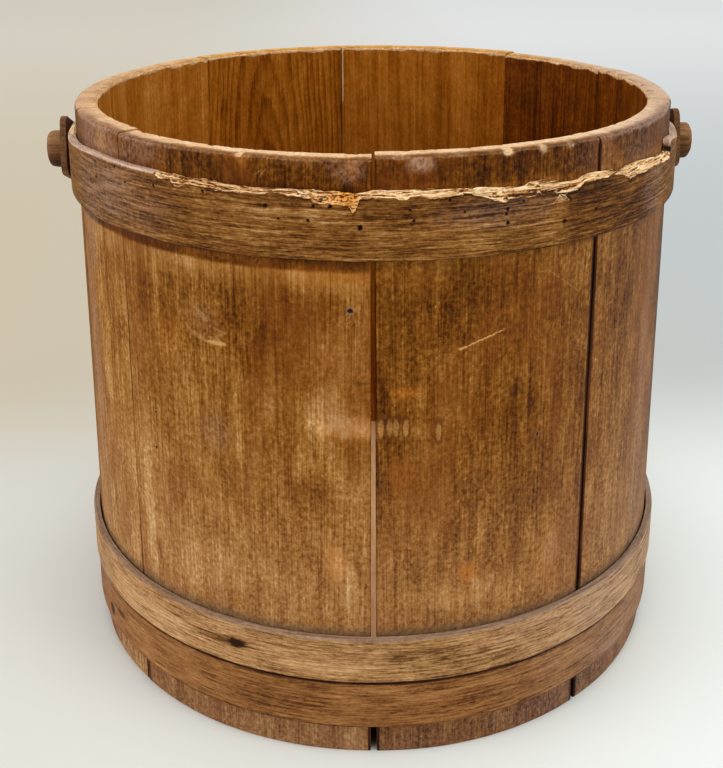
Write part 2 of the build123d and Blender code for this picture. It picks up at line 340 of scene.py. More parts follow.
# Chips out of the rim's outer corner: pixel, half width, half height and how complete
rim_chips = (
    ((237, 151), 3.4, 3.4, 0.75), ((205, 146), 3.6, 2.0, 0.5), ((303, 153), 5.5, 2.6, 0.6),
    ((272, 152), 4.0, 2.0, 0.5), ((350, 156), 3.0, 2.0, 0.4), ((510, 151), 4.4, 2.6, 0.7),
    ((545, 147), 2.6, 3.6, 0.6), ((572, 144), 3.0, 2.4, 0.5), ((440, 154), 2.6, 2.0, 0.4),
    ((625, 129), 3.0, 2.4, 0.4), ((400, 156), 6.0, 2.0, 0.45), ((185, 143), 2.4, 2.0, 0.45),
)

# Patches on the staves: pixel, half width and half height, and how much paler. The narrow dark one at (632,
# 400) is painted shade down the right side.
patches = (
    ((330, 275), 40, 6, 0.04), ((240, 266), 36, 6, 0.04), ((560, 690), 30, 12, -0.12),
    ((450, 735), 30, 8, -0.06), ((250, 300), 40, 20, -0.07), ((350, 298), 14, 16, -0.1),
    ((290, 174), 60, 8, -0.08), ((180, 160), 40, 8, -0.07), ((170, 300), 20, 16, -0.07),
    ((250, 330), 22, 26, -0.06), ((345, 428), 17, 6, 0.42), ((330, 405), 12, 9, 0.16),
    ((150, 470), 14, 48, 0.14), ((215, 425), 8, 9, -0.06), ((320, 500), 18, 12, -0.07),
    ((357, 545), 4, 16, -0.05), ((335, 565), 6, 14, 0.1), ((200, 560), 32, 18, 0.1),
    ((105, 330), 8, 50, 0.1), ((400, 330), 10, 30, -0.06), ((480, 300), 36, 18, -0.05),
    ((520, 384), 5, 5, -0.16), ((400, 470), 10, 14, -0.06), ((425, 480), 8, 8, -0.06),
    ((540, 540), 14, 22, 0.06), ((470, 590), 40, 8, 0.12), ((405, 432), 15, 5, 0.16),
    ((610, 470), 9, 40, 0.08), ((632, 400), 4, 46, -0.06), ((240, 440), 16, 20, 0.08),
    ((185, 165), 2.2, 7, -0.16), ((300, 172), 10, 5, -0.06), ((421, 163), 5.5, 4.5, 0.34),
    ((352, 168), 4, 5, 0.1), ((150, 150), 10, 5, 0.08), ((100, 140), 9, 8, 0.12),
    ((610, 160), 10, 8, 0.1),
)
# Where a warm stain shows: pixel, half width and half height, and how much
glow_patches = (
    ((330, 276), 19, 5, 0.3), ((235, 266), 36, 7, 0.15), ((325, 274), 40, 7, 0.25),
    ((345, 430), 15, 5, 0.7), ((408, 393), 8, 3, 0.9), ((335, 565), 6, 12, 0.7),
    ((468, 572), 5.5, 6, 1.0), ((460, 596), 18, 4, 0.25), ((352, 168), 4, 5, 0.45),
    ((240, 158), 5, 3, 0.6), ((400, 475), 8, 9, 0.4), ((550, 560), 12, 14, 0.3), ((215, 250), 40, 4, 0.4),
    ((165, 330), 10, 16, 0.2),
)
# Where the wood is greyed, partly by dry old varnish and partly by painted sheen at the left and right edges:
# pixel, half width and half height, and how much
bloom_and_sheen_patches = (
    ((95, 140), 26, 12, 0.8), ((140, 150), 16, 8, 0.5), ((92, 230), 12, 22, 0.6),
    ((95, 330), 12, 60, 0.55), ((104, 450), 8, 60, 0.3), ((640, 150), 16, 10, 0.2),
    ((640, 400), 8, 90, 0.35), ((421, 163), 5.5, 4.5, 1.3), ((350, 172), 8, 5, 0.5),
    ((215, 432), 10, 12, 0.3), ((550, 550), 8, 8, 0.3), ((200, 320), 9, 7, 0.15),
    ((320, 160), 26, 3, 0.15), ((600, 155), 16, 9, 0.15), ((560, 692), 40, 14, 0.38),
    ((450, 738), 60, 8, 0.12), ((300, 740), 60, 8, 0.1), ((632, 560), 8, 40, 0.4),
)
hoop_bloom_and_sheen_patches = (
    ((95, 185), 26, 22, 0.6), ((130, 200), 24, 18, 0.35), ((655, 190), 14, 16, 0.45),
    ((500, 212), 30, 8, 0.3),
)
low_hoop_bloom_and_sheen_patches = (
    ((105, 570), 16, 14, 0.6), ((115, 630), 14, 14, 0.5), ((600, 600), 26, 14, 0.45),
    ((610, 640), 26, 14, 0.45), ((520, 630), 26, 8, 0.3),
)
# Nail hole and wormholes in the staves: pixel and radius
holes_on_staves = (((350, 311), 1.3), ((156, 412), 0.75), ((156, 448), 0.85), ((537, 434), 0.9))
# Fine places at the edges of a stave: from its sides, into its wall, up from its foot and down from its rim
side_steps, wall_steps = (0, 0.2, 0.5, 0.9, 1.5), (0, 0.25, 0.6, 1.1, 1.8)
foot_steps, rim_steps = (0, 0.25, 0.6, 1.1, 1.8, 3.0), (0, 0.2, 0.45, 0.75, 1.1, 1.6, 2.2, 2.9)
wall_step, groove_corner, rim_edge = 1.5, 0.08, 3.0
# Up to this height every seam is painted with shade at the foot, as a dark slit
slit_top = 17.0


def stave_edges(name):
    """A stave's azimuths at its foot, and as far up as its sides run straight, that height, and its top."""
    points = stave_points[name]
    middle = azimuth_of(points.mean(0))
    turn = middle + (azimuth_of(points) - middle + 180) % 360 - 180
    outside = outer_radius(points[:, 2]) - radius_of(points) < 0.02
    high = points[outside, 2].max()
    foot = turn[outside & (points[:, 2] < 0.02)]
    head = turn[outside & (points[:, 2] > high - 0.02)]
    return foot.min(), foot.max(), head.min(), head.max(), high, points[:, 2].max()


def patchiness(azimuth, z, table, seed, stand_off=0.0):
    """How much a table of patches adds up to at places on the wall, or on a face that stands off it."""
    across = np.radians(azimuth) * outer_radius(z)
    ragged = 0.3 * rough(across / 5, z / 9, seed=seed, octaves=4)
    total = np.zeros_like(z)
    for pixel, half_width, half_height, amount in table:
        u, v = on_wall(*pixel, stand_off)
        distance = np.hypot((across - u) / half_width, (z - v) / half_height)
        total += amount * fade(distance + ragged, 0.35, 1.25)
    return total


def pits(azimuth, z, table, stand_off=0.0):
    """Depth of the worm and nail holes at places on the wall."""
    across = np.radians(azimuth) * outer_radius(z)
    depth = np.zeros_like(z)
    for (u, v), radius in spots_on_wall(table, stand_off):
        hole = 1.2 * radius * fade(np.hypot(across - u, z - v), 0.3 * radius, radius)
        depth = np.maximum(depth, hole)
    return depth


def stave(number):
    """One tapered stave, with its groove, its worn rim and its eased edges."""
    name = stave_names[number - 1]
    foot_start, foot_end, head_start, head_end, high, top = stave_edges(name)
    width = math.radians(foot_end - foot_start) * base_radius
    along = steps(width, column_step, side_steps)
    deep = steps(wall, wall_step, wall_steps)
    groove = (croze_height, croze_height + croze_width)
    near_groove = [edge + side for edge in groove for side in (-0.8, -groove_corner, groove_corner, 0.8)]
    up = np.unique(np.concatenate([
        foot_steps, np.arange(5.5, top - rim_zone, row_step), near_groove,
        np.arange(top - rim_zone, top - 3.2, rim_row_step), top - np.array(rim_steps),
    ]))
    (a, w, v), faces = block_skin(along, deep, up)
    outside, inside, on_top = w < 0.01, w > wall - 0.01, v > top - 0.01

    share = a / width
    start = foot_start + (head_start - foot_start) * v / high
    end = foot_end + (head_end - foot_end) * v / high
    azimuth = start + (end - start) * share
    across = np.radians(azimuth) * outer_radius(v)
    below_top = top - v

    bite = smooth(rough(across / 5, seed=number), 0.3, 0.75)
    bite = bite * smooth(noise(across / 26, seed=number + 20), -0.3, 0.5)
    inner_bite = smooth(rough(across / 4, seed=number + 40), 0.2, 0.7)
    chip = patchiness(azimuth, top - below_top * (below_top < rim_zone), rim_chips, 4)
    outer_round = rim_round + 0.5 * rough(across / 20, seed=number + 60) + 1.2 * bite + 1.3 * chip
    inner_round = rim_inner_round + 0.4 * rough(across / 12, seed=number + 80) + 1.6 * inner_bite
    out, below = ease(w, below_top, outer_round)
    into, below = ease(wall - w, below, inner_round)
    depth = out + (wall - w) - into
    saw = 0.12 * (1 + rough(across / 16, w / 7, seed=number))
    saw = saw + 0.07 * (1 + rough(across / 1.6, w / 3.0, seed=number + 5))
    below = below + saw * fade(below_top, 0.5, 3.0)
    tight = smooth(v, tight_from, tight_from + 30) * (below_top > 2 * rim_round)
    tight_first, tight_last = number in tight_first_sides, number in tight_last_sides
    depth, left = ease(depth, a, seam_ease + (tight_ease - seam_ease) * tight * tight_first)
    depth, right = ease(depth, width - a, seam_ease + (tight_ease - seam_ease) * tight * tight_last)
    azimuth = azimuth + np.degrees((left - a - right + width - a) / base_radius)
    widened = 0.16 * tight * (share * tight_last - (1 - share) * tight_first)
    azimuth = azimuth + np.degrees(widened / base_radius)
    if number == pale_side_stave:
        closed = pale_side_swell * smooth(v, pale_side_bottom - 30, pale_side_bottom) * (depth < wall - 3)
        azimuth = azimuth + np.degrees(closed * share ** 8 / base_radius)
    low = v < 2 * foot_ease
    eased_depth, lifted = ease(depth, v, foot_ease)
    depth = np.where(low, eased_depth, depth)
    z = np.where(low, lifted, top - below)

    corners = [edge + side for edge in groove for side in (-groove_corner, groove_corner)]
    depth = np.minimum(depth, wall - croze_depth * band(v, *corners))
    wave = 0.16 * noise(across / 34, v / 120, seed=number) + 0.06 * rough(across / 7, v / 60, seed=number + 9)
    facet = 0.22 * (4 * share * (1 - share) - 0.5)
    depth = depth + (wave - facet * (~on_top)) * np.where(inside, -1, 1) * (outside | inside)
    depth = depth + outside * pits(azimuth, v, holes_on_staves)
    lean_out = 0.3 * noise(number, seed=3)
    points = round_about(azimuth, outer_radius(z) - depth + lean_out, z)

    middle = (foot_start + foot_end) / 2
    u = np.radians(azimuth - middle) * outer_radius(v)
    looks = stave_shades(number, azimuth, v, w, top, a, width)
    looks["grain"] = np.stack([u + 40.0 * number, v + 500.0 * number, w], -1)
    looks["ring"] = stave_rings(number, u, v, w)
    looks["wall"] = np.stack([across, v, w], -1)
    looks["worn"] = stave_wear(number, azimuth, across, v, w, top, a, width, chip)
    return make_mesh(name + "_wood", points, faces, looks)


def stave_rings(number, u, v, w):
    """How many growth rings lie between the pith and each place."""
    pith_across, pith_depth, pith_lean, ring_width = stave_grain[number - 1][:4]
    wander = 3.5 * noise(v / 130, u / 60, seed=number) + 1.2 * noise(v / 40, u / 25, seed=number + 7)
    ring = np.hypot(u - pith_across + wander, w - pith_depth + pith_lean * v + 0.5 * wander) / ring_width
    return ring + 0.5 * noise(ring / 2.3, v / 300, seed=number)


def turned_away(azimuth):
    """Degrees from the front, either way round."""
    return np.abs((azimuth + 180) % 360 - 180)


def stave_wear(number, azimuth, across, v, w, top, a, width, chip):
    """Where the wood is rubbed or worn through: the rim, the stave's corners, the chips, and the side painted
    pale in the back seam, partly worn wood and partly painted light.
    """
    outside, inside = w < 0.01, w > wall - 0.01
    below_top = top - v
    corner = w + 1.3 * rough(across / 6, seed=number + 30)
    narrow = fade(turned_away(azimuth), 60, 84)
    across_rim = narrow * (0.3 + 0.7 * smooth(corner, 1.5, 7.5))
    across_rim = across_rim + (1 - narrow) * (0.96 - 0.34 * smooth(corner, 3, 9))
    rim_wear = fade(below_top, 0.2, 1.0) * across_rim * ~inside
    rubbed = 0.34 * fade(below_top + 0.6 * rough(across / 8, seed=number + 31), 0.6, 1.7) * outside
    inner_wear = fade(below_top + 1.2 * rough(across / 6, seed=number + 32), 1.2, 2.6) * inside
    arris_wear = 0.16 * fade(np.minimum(a, width - a), 0.1, 1.0) * outside * (v > slit_top)
    chip_wear = chip * (below_top < 4.5) * ~inside
    worn = np.max([rim_wear, rubbed, inner_wear, arris_wear, chip_wear], axis=0)
    if number == pale_side_stave:
        # That side is painted pale near the top: bare wood, and painted light on the face that shows through
        # the seam
        pale_side = fade(width - a, 0.7 * pale_side_width, pale_side_width)
        worn = np.maximum(worn, pale_side * smooth(v, pale_side_bottom - 3, pale_side_bottom + 3) * ~outside)
    return worn


def stave_shades(number, azimuth, v, w, top, a, width):
    """The looks that darken, warm or dull a stave: its seams and slits with painted shade, its foot, its
    sides turned away with painted shade, its rim with grey bloom and painted sheen, and its patches.
    """
    tone, inside_tone = stave_grain[number - 1][4:]
    outside, inside = w < 0.01, w > wall - 0.01
    below_top, under_rim = top - v, v < top - rim_edge
    turned = turned_away(azimuth)
    from_side = np.minimum(a, width - a)
    light_top = seen(*seam_light_pixel)[1]
    above_light = smooth(v, light_top - seam_light_blend, light_top + seam_light_blend)
    # Painted shade on the seams' side faces above that height, and the wood a little darker near every seam
    # below the rim
    seam_shade = 0.55 * fade(from_side, 0.0, 0.3) * above_light
    seam_shade = seam_shade + 0.14 * fade(from_side, 0.05, 0.8) * under_rim
    # Painted shade: the wide seam dark along its edges outside and on its side faces, and a dark slit along
    # each seam at the foot
    wide_seam, dark_side = np.zeros_like(v), np.zeros_like(v)
    if number in (wide_seam_first, wide_seam_second):
        from_seam = width - a if number == wide_seam_first else a
        wide_seam = outside * under_rim * fade(from_seam, 0.6, 1.9 - 0.9 * v / height)
        dark_side = fade(from_seam, 0.0, 0.3) * under_rim * (w < wall - 3)
    slit = fade(from_side, 1.0, 1.4) * fade(v, slit_top - 2, slit_top) * outside
    gap_shade = np.max([wide_seam, dark_side, slit], axis=0)
    # Darker towards the foot, and painted shade on the sides turned away from the camera, more on the right
    foot_shade = 0.12 * fade(v, 14, 19)
    edge_shade = (0.07 + 0.1 * (azimuth > 0)) * band(turned, 55, 80, 105, 130) * under_rim
    # Painted sheen with the grey bloom on the rim at the sides
    rim_bloom_and_sheen = 0.75 * band(turned, 28, 60, 96, 125) * fade(below_top, 1.0, 2.2) * fade(w, 6, 9)
    foot_bloom = 0.3 * band(v, slit_top, 60, 60, 190) * outside
    on_rim = (below_top < 2.2) * ~inside
    right_side = band(azimuth, 20, 60, 105, 130)
    dull = right_side * (0.1 * outside + 0.18 * on_rim) - 0.22 * on_rim * smooth(turned, 120, 150)
    stains = outside * patchiness(azimuth, v, patches, 1)
    blooms_and_sheen = outside * patchiness(azimuth, v, bloom_and_sheen_patches, 3)
    return {
        "tone": tone + stains - seam_shade - (foot_shade + edge_shade) * outside - gap_shade,
        "inside_tone": inside_tone - 0.8 * dark_side,
        "inside_rings": np.full_like(v, inside_rings[number - 1]),
        "glow": outside * patchiness(azimuth, v, glow_patches, 2),
        # The bloom look holds grey bloom and painted sheen together
        "bloom": (blooms_and_sheen + rim_bloom_and_sheen + foot_bloom) * (1 - gap_shade),
        "dull": dull + 0.12 * fade(v, 15, 19) * outside,
    }


# Hoops
# Torn upper edge of the top hoop: pixel across, then down to the break at the staves and at the hoop's face
tear = (
    (152, 169.4, 171.9), (157.5, 170.8, 175.6), (163, 171.9, 177.0), (168.7, 173.0, 178.1),
    (170.6, 173.3, 181.9), (176.2, 174.2, 185.6), (181.2, 176.0, 184.4), (186.2, 177.2, 182.5),
    (193.7, 178.3, 183.5), (206, 178.9, 186.2), (216, 181.5, 188.7), (227.5, 184.7, 190.6),
    (237.5, 186.2, 191.9), (247.5, 186.8, 191.9), (256, 187.5, 192.9), (265, 188.1, 192.7),
    (270, 188.8, 191.2), (277.5, 188.1, 192.7), (287.5, 188.5, 195.6), (300, 189.0, 196.2),
    (310, 190.0, 197.5), (313.7, 190.8, 201.2), (318.7, 191.2, 203.1), (330, 191.9, 203.3),
    (342.5, 192.5, 205.0), (348.7, 193.2, 205.5), (352.5, 193.8, 213.0), (355, 194.0, 211.0),
    (357.5, 193.4, 205.0), (359, 193.0, 198.7), (362, 192.6, 197.5), (370, 191.0, 197.6),
    (373, 190.4, 196.0), (385, 190.5, 196.2), (396, 190.6, 197.5), (400, 190.3, 199.3),
    (407, 190.0, 199.0), (413, 189.6, 195.8), (420, 189.9, 195.2), (428, 190.5, 196.8),
    (437, 190.1, 197.0), (450, 189.0, 196.0), (460, 188.6, 194.2), (466, 189.4, 192.2),
    (469, 190.9, 192.0), (475, 188.0, 194.5), (485, 187.0, 195.8), (491, 187.1, 195.2),
    (494, 187.2, 200.5), (500, 187.2, 201.0), (506, 187.3, 202.0), (510, 187.2, 198.5),
    (523, 186.4, 196.4), (528.5, 182.1, 195.6), (537, 180.7, 194.3), (540, 184.0, 194.0),
    (551.5, 183.1, 192.9), (560, 182.4, 191.7), (566, 181.7, 192.4), (577, 179.3, 189.6),
    (580, 177.4, 187.1), (582, 175.7, 185.0), (586, 174.2, 181.1), (592, 172.9, 179.9),
    (603, 171.1, 177.9), (609, 171.3, 175.9), (611.5, 171.4, 172.9), (618, 170.8, 172.6),
    (627, 164.3, 175.0), (630.7, 163.2, 178.6), (637, 160.7, 174.3), (648.5, 158.0, 168.6),
    (660, 153.8, 162.1), (665.5, 152.1, 161.0), (670, 151.0, 156.0),
)
# Strands that stand out of the tear, each through a few pixels
strands = (
    ((504, 201.5), (512, 198.5), (524, 197.0), (540, 195.0), (556, 193.0), (570, 191.3), (580, 189.0)),
    ((472, 194.0), (484, 196.5), (494, 199.0), (504, 202.0)),
    ((500, 190.0), (520, 189.0), (545, 188.0), (570, 184.5)),
    ((553, 204.5), (558, 198.5), (561, 193.5)),
    ((570, 200.5), (565, 196.0), (560, 193.5)),
    ((557, 201.0), (563, 197.5), (568, 192.0)),
    ((618, 172.5), (628, 170.5), (642, 163.5)),
    ((622, 176.0), (631, 177.5), (640, 171.0)),
    ((640, 168.0), (652, 163.5), (664, 156.0)),
    ((588, 181.5), (598, 177.5), (607, 175.5)),
    ((568, 201.5), (563, 199.0), (559, 194.5)),
    ((566, 199.5), (561, 199.5), (556, 200.5)),
    ((560, 192.0), (570, 190.5), (582, 186.5)),
    ((508, 200.0), (530, 196.8), (556, 192.6)),
)
# Wormholes in the top hoop: pixel and radius
worm_holes = (
    ((94.5, 161), 0.8), ((114, 166.5), 0.7), ((92, 183), 0.7), ((96, 177), 0.5), ((124, 182), 0.7),
    ((153, 186), 0.8), ((202, 191.5), 0.9), ((265, 206), 1.0), ((278, 218.5), 0.6), ((313, 206), 0.7),
    ((320, 201.5), 1.0), ((330, 206.5), 0.9), ((308, 221), 0.8), ((360, 228), 1.2), ((410, 210), 0.6),
    ((414, 221), 0.7), ((450, 200), 0.8), ((465, 212), 0.6), ((508, 209), 0.8), ((507, 214), 0.7),
    ((508, 223), 0.95), ((524, 201), 0.6), ((565, 221), 1.05), ((596, 209), 0.7),
)
# Where the broken wood is orange: pixel, half width and half height, and how much
hoop_glow = (
    ((335, 199), 12, 5, 0.8), ((350, 204), 5, 6, 0.6), ((172, 180), 7, 3, 0.45),
    ((205, 184), 14, 2.5, 0.4), ((500, 197), 8, 3, 0.25), ((575, 186), 8, 3, 0.25),
)
# Where the top hoop's edge is worn down beside the pegs: azimuths, and how far
dip_azimuths = (-106, -96, -82, -70, -58, 64, 74, 92, 104)
dip_depths = (0.0, 3.2, 3.6, 2.2, 0.0, 0.0, 4.2, 4.0, 0.0)
# Where it is chipped beside the left peg: azimuths, and how deep
chipped_edge, chipped_edge_depth = (-90.0, -86.0, -80.0, -76.0), 1.2
# Strokes in the tear on the right: painted shade in the dark gaps between strands, a raised flake and its
# painted shadow
tear_shadows = (
    ((508, 195.8), (528, 194.2), 0.6), ((526, 194.3), (560, 190.9), 0.5), ((632, 170.5), (640, 167.5), 0.5),
)
flake = (((556, 201.5), (565, 196.5), 1.3),)
flake_shadow = (((564, 194.5), (571, 200.0), 1.0),)
# A square break in the top hoop beside the right peg, painted as shade with no hole cut, as a stroke between
# two pixels with its half width
square_break_shade = (((665.6, 149.2), (671.4, 148.8), 1.5),)
# Split in the break: the azimuths where it opens and closes, how deep it lies in the strip, and its depth
split_azimuths, split_place, split_depth = (18.5, 20.5, 30.5, 32.5), 0.34, 2.4
fine_fibre_count = 260
# Stains on the hoops: pixel, half width and half height, and how much paler
hoop_patches = (
    ((110, 190), 16, 14, -0.04), ((88, 200), 10, 20, -0.08), ((235, 210), 26, 6, 0.12),
    ((280, 212), 20, 2.2, 0.28), ((325, 221), 12, 2.0, 0.22), ((255, 238), 14, 3, 0.2),
    ((340, 245), 20, 4, -0.1), ((430, 240), 26, 5, 0.1), ((480, 205), 26, 8, -0.1),
    ((600, 190), 16, 6, -0.16), ((645, 200), 14, 16, -0.1), ((640, 210), 14, 12, -0.08),
    ((560, 235), 20, 4, 0.1), ((430, 262), 30, 2.5, 0.14), ((600, 215), 34, 24, -0.12),
    ((500, 205), 22, 5, -0.08), ((120, 225), 30, 6, 0.1),
)
low_hoop_patches = (
    ((236, 643), 4.5, 2.2, -0.7), ((233, 642), 12, 3.6, -0.26), ((113, 608), 4, 4, -0.6),
    ((122, 614), 8, 3, -0.26), ((484, 650), 5, 3, -0.25), ((180, 590), 30, 8, 0.16),
    ((150, 610), 40, 12, 0.16), ((330, 668), 26, 3, 0.15), ((270, 655), 20, 5, 0.08),
    ((420, 655), 20, 2.5, -0.12), ((600, 600), 26, 5, 0.06), ((300, 705), 44, 6, -0.06),
    ((575, 655), 20, 6, 0.06), ((140, 640), 20, 10, 0.1), ((470, 700), 30, 6, -0.05),
)


def tear_line(column, stand_off, high):
    """Azimuths along the tear, and how far below the hoop's edge the break lies on one of its faces."""
    places = [seen(row[0], row[column], stand_off) for row in tear]
    return [place[0] for place in places], [max(high - place[1], 0.0) for place in places]


def sliver(places, thickness, seed):
    """Points and quads of a torn fibre through some places, pointed at both ends."""
    places = np.array(places, float)
    count = 4 * (len(places) - 1) + 1
    spots = np.linspace(0, len(places) - 1, count)
    line = np.stack([np.interp(spots, range(len(places)), places[:, axis]) for axis in range(3)], -1)
    ahead = np.gradient(line, axis=0)
    ahead /= np.linalg.norm(ahead, axis=1)[:, None]
    outward = line * (1, 1, 0)
    outward /= np.linalg.norm(outward, axis=1)[:, None]
    upward = np.cross(ahead, outward)
    share = np.linspace(0, 1, count)
    half = thickness / 2 * (0.12 + np.sin(math.pi * share) ** 0.6)
    half = half * (1 + 0.3 * noise(share * count, seed=seed))
    corners = [outward * half[:, None] * 0.6, upward * half[:, None]]
    ring = np.stack([line + corners[0], line + corners[1], line - corners[0], line - corners[1]], 1)
    number = np.arange(4 * count).reshape(count, 4)
    after = np.roll(number, -1, axis=1)
    faces = np.stack([number[:-1], after[:-1], after[1:], number[1:]], -1).reshape(-1, 4)
    caps = np.array([number[0][::-1], number[-1]])
    return ring.reshape(-1, 3), np.concatenate([faces, caps])


def torn_top(azimuth, t, w, play, thickness, high, top):
    """The hoop's top with the break in it, and how far each place lies in the break and in its split."""
    face_azimuth, face_drop = tear_line(2, play + thickness, high)
    back_azimuth, back_drop = tear_line(1, play, high)
    mask = band(azimuth, face_azimuth[0], face_azimuth[0] + 0.6, face_azimuth[-1] - 0.5, face_azimuth[-1])
    face = np.interp(azimuth, face_azimuth, face_drop)
    back = np.interp(azimuth, back_azimuth, back_drop)
    face = face + 0.3 * rough(t / 2.6, seed=5) + 0.25 * smooth(noise(t / 4.2, seed=6), 0.1, 0.6)
    fibres = rough(t / 12, w * 7, seed=7, octaves=3) + 0.35 * noise(t / 3.2, w * 12, seed=12)
    slope = smooth(w + 0.16 * noise(t / 2.5, seed=8), 0.1, 0.7)
    drop = face + (back - face) * slope + 0.9 * fibres * smooth(w, 0.02, 0.2) * fade(w, 0.85, 1)
    split = band(azimuth, *split_azimuths)
    drop = drop + split_depth * split * np.exp(-((w - split_place) / 0.07) ** 2)
    broken = high - np.maximum(drop, 0.05) * mask - 0.25 * (1 - mask)
    return np.where(mask > 0, broken, top), mask, split


def torn_looks(azimuth, t, v, w, on_edge, below_edge, mask, split):
    """Where the torn wood is fresh, how far it stands out, where it is older and darker with painted shade in
    its split, and where painted shadow falls under the lifted skin.
    """
    outside = w < 0.001
    skin_lost = smooth(rough(t / 3.5, v / 1.2, seed=9), 0.15, 0.6)
    fresh = np.maximum(mask * on_edge, outside * mask * fade(below_edge, 0.15, 0.5 + 1.2 * skin_lost))
    fresh = fresh * (0.78 + 0.1 * smooth(azimuth, -14, 0))
    lip = 0.35 * outside * mask * fade(below_edge, 0.2, 1.0) * smooth(noise(t / 8, seed=11), -0.2, 0.4)
    aged_and_split_shade = 0.2 * mask * on_edge * fade(azimuth, -16, -6)
    # Painted shade down the split
    aged_and_split_shade = aged_and_split_shade + 0.9 * split * on_edge * np.exp(-((w - split_place) / 0.1) ** 2)
    # Painted shadow under the lifted skin
    overhang_shadow = 0.3 * mask * outside * fade(below_edge, 0.5, 2.2) * smooth(noise(t / 9, seed=13), -0.6, 0.2)
    return fresh, lip, aged_and_split_shade, overhang_shadow


def worn_top(azimuth, t, w, high, top):
    """The hoop's top worn down and chipped beside the pegs, and where the chips are."""
    chipped = band(azimuth, *chipped_edge)
    top = top - chipped_edge_depth * chipped * (0.5 + 0.5 * rough(t / 3, w * 3, seed=14))
    dip = np.interp(azimuth, dip_azimuths, dip_depths) * (1 + 0.12 * rough(t / 9, seed=15))
    return np.minimum(top, high - 0.4 - dip), chipped


def hoop(name, tacks, play, thickness, seed, torn, covered):
    """A bentwood strip round the staves, whose last stretch laps over its first under the tacks."""
    low, high = (corner[2] for corner in node_box(name))
    width = high - low
    reach = outer_radius(low)
    around = 2 * math.pi * reach
    tack_turn = azimuth_of(node_points(tacks).mean(0))
    lap_azimuth = tack_turn - math.degrees(lap_length / 2 / reach)
    total = around + lap_length
    along = steps(total, hoop_column_step, (0, 0.3, 0.7, 1.2))
    if torn:
        tear_turns = [(seen(*tear[end][:2])[0] - lap_azimuth) % 360 for end in (0, -1)]
        tear_start, tear_end = (math.radians(turn) * reach for turn in tear_turns)
        finer = np.arange(tear_start - 2, tear_end + 2, torn_column_step)
        along = np.concatenate([along[(along < finer[0]) | (along > finer[-1])], finer])
        along.sort()
    deep = steps(1.0, 0.09 if torn else 0.25, (0, 0.08, 0.2))
    up = steps(width, hoop_row_step, (0, 0.2, 0.45, 0.8))
    (t, w, v), faces = block_skin(along, deep, up)
    outside, on_edge = w < 0.001, v > width - 0.001
    azimuth = lap_azimuth + np.degrees(t / reach)
    azimuth = (azimuth + 180) % 360 - 180

    ramp_start, ramp_end = around - lap_end_gap - lap_root_length, around - lap_end_gap
    climb = smooth(t, ramp_start, ramp_end)
    inner = play + (thickness + lap_clearance) * climb
    outer = play + thickness + lap_thickness * climb
    outer = outer - lap_end_taper * smooth(t, total - lap_taper_length, total)
    thick = outer - inner
    into = w * thick
    round_over = hoop_ease + 0.25 * rough(t / 14, seed=seed)
    out, from_top = ease(into, width - v, round_over)
    out, from_low = ease(out, np.minimum(v, width), round_over)
    from_top, from_end = ease(from_top, total - t, hoop_end_round)
    from_low, from_end = ease(from_low, from_end, hoop_end_round)
    z_share = np.where(v > width / 2, width - from_top, from_low) / width
    azimuth = azimuth + np.degrees((total - t - from_end) / reach)
    into = out

    bottom = low + 0.3 * (1 + rough(t / 70, seed=seed)) * (low > 0)
    top = high - 0.25 * (1 + rough(t / 60, seed=seed + 1))
    fresh, glow, overhang_shadow, aged_and_split_shade, mask = (np.zeros_like(t) for _ in range(5))
    if torn:
        top, mask, split = torn_top(azimuth, t, w, play, thickness, high, top)
        below_edge = (1 - v / width) * (top - bottom)
        glow = patchiness(azimuth, bottom + z_share * (top - bottom), hoop_glow, 6, play + thickness)
        fresh, lip, aged_and_split_shade, overhang_shadow = torn_looks(azimuth, t, v, w, on_edge, below_edge, mask, split)
        into = into - lip
        top, chipped = worn_top(azimuth, t, w, high, top)
        fresh = np.maximum(fresh, chipped * on_edge)
    z = bottom + z_share * (top - bottom)
    wave = 0.12 * rough(t / 45, v / 20, seed=seed) + 0.07 * rough(t / 11, v / 1.6, seed=seed + 2)
    into = into + np.maximum(wave + 0.06, 0.01) * outside
    if torn:
        into = into + outside * pits(azimuth, z, worm_holes, play + thickness)
    points = round_about(azimuth, outer_radius(z) + outer - into, z)

    across = np.radians(azimuth) * outer_radius(z)
    wander = 2.5 * noise(t / 140, seed=seed) + 0.9 * noise(t / 45, v / 12, seed=seed + 3)
    stains = hoop_patches if torn else low_hoop_patches
    bloom_and_sheen_stains = hoop_bloom_and_sheen_patches if torn else low_hoop_bloom_and_sheen_patches
    rise = z - low
    # Painted shade: a dark band along each hoop's lower edge, and along the lower hoop's upper edge where it
    # meets the upper hoop
    dark_band = 0.45 * fade(rise, 0.3, 1.3) + 0.5 * covered * smooth(rise, width - 2.2, width - 0.8)
    upper_edge = fade(np.minimum(width - v, 6.0), 0.3, 1.5)
    looks = {
        "grain": np.stack([rise, t + 900.0 * seed, into], -1),
        "ring": (rise * 1.15 + into * 0.6 + wander) / 3.1 + 0.4 * noise(rise / 5, t / 260, seed=seed),
        "wall": np.stack([across, z, into], -1),
        "worn": np.zeros_like(t) if covered else upper_edge * (1 - mask),
        "tone": outside * patchiness(azimuth, z, stains, seed, play + thickness) - dark_band - overhang_shadow - aged_and_split_shade,
        "glow": glow,
        # Grey bloom with painted sheen on the hoop
        "bloom": outside * patchiness(azimuth, z, bloom_and_sheen_stains, seed + 4, play + thickness),
        "dull": 0.14 * (not torn) * band(azimuth, 10, 50, 110, 140),
        "fresh": fresh,
    }
    if torn:
        points, faces, looks = add_slivers(points, faces, looks, play, thickness, high)
    return make_mesh(name + "_wood", points, faces, looks)


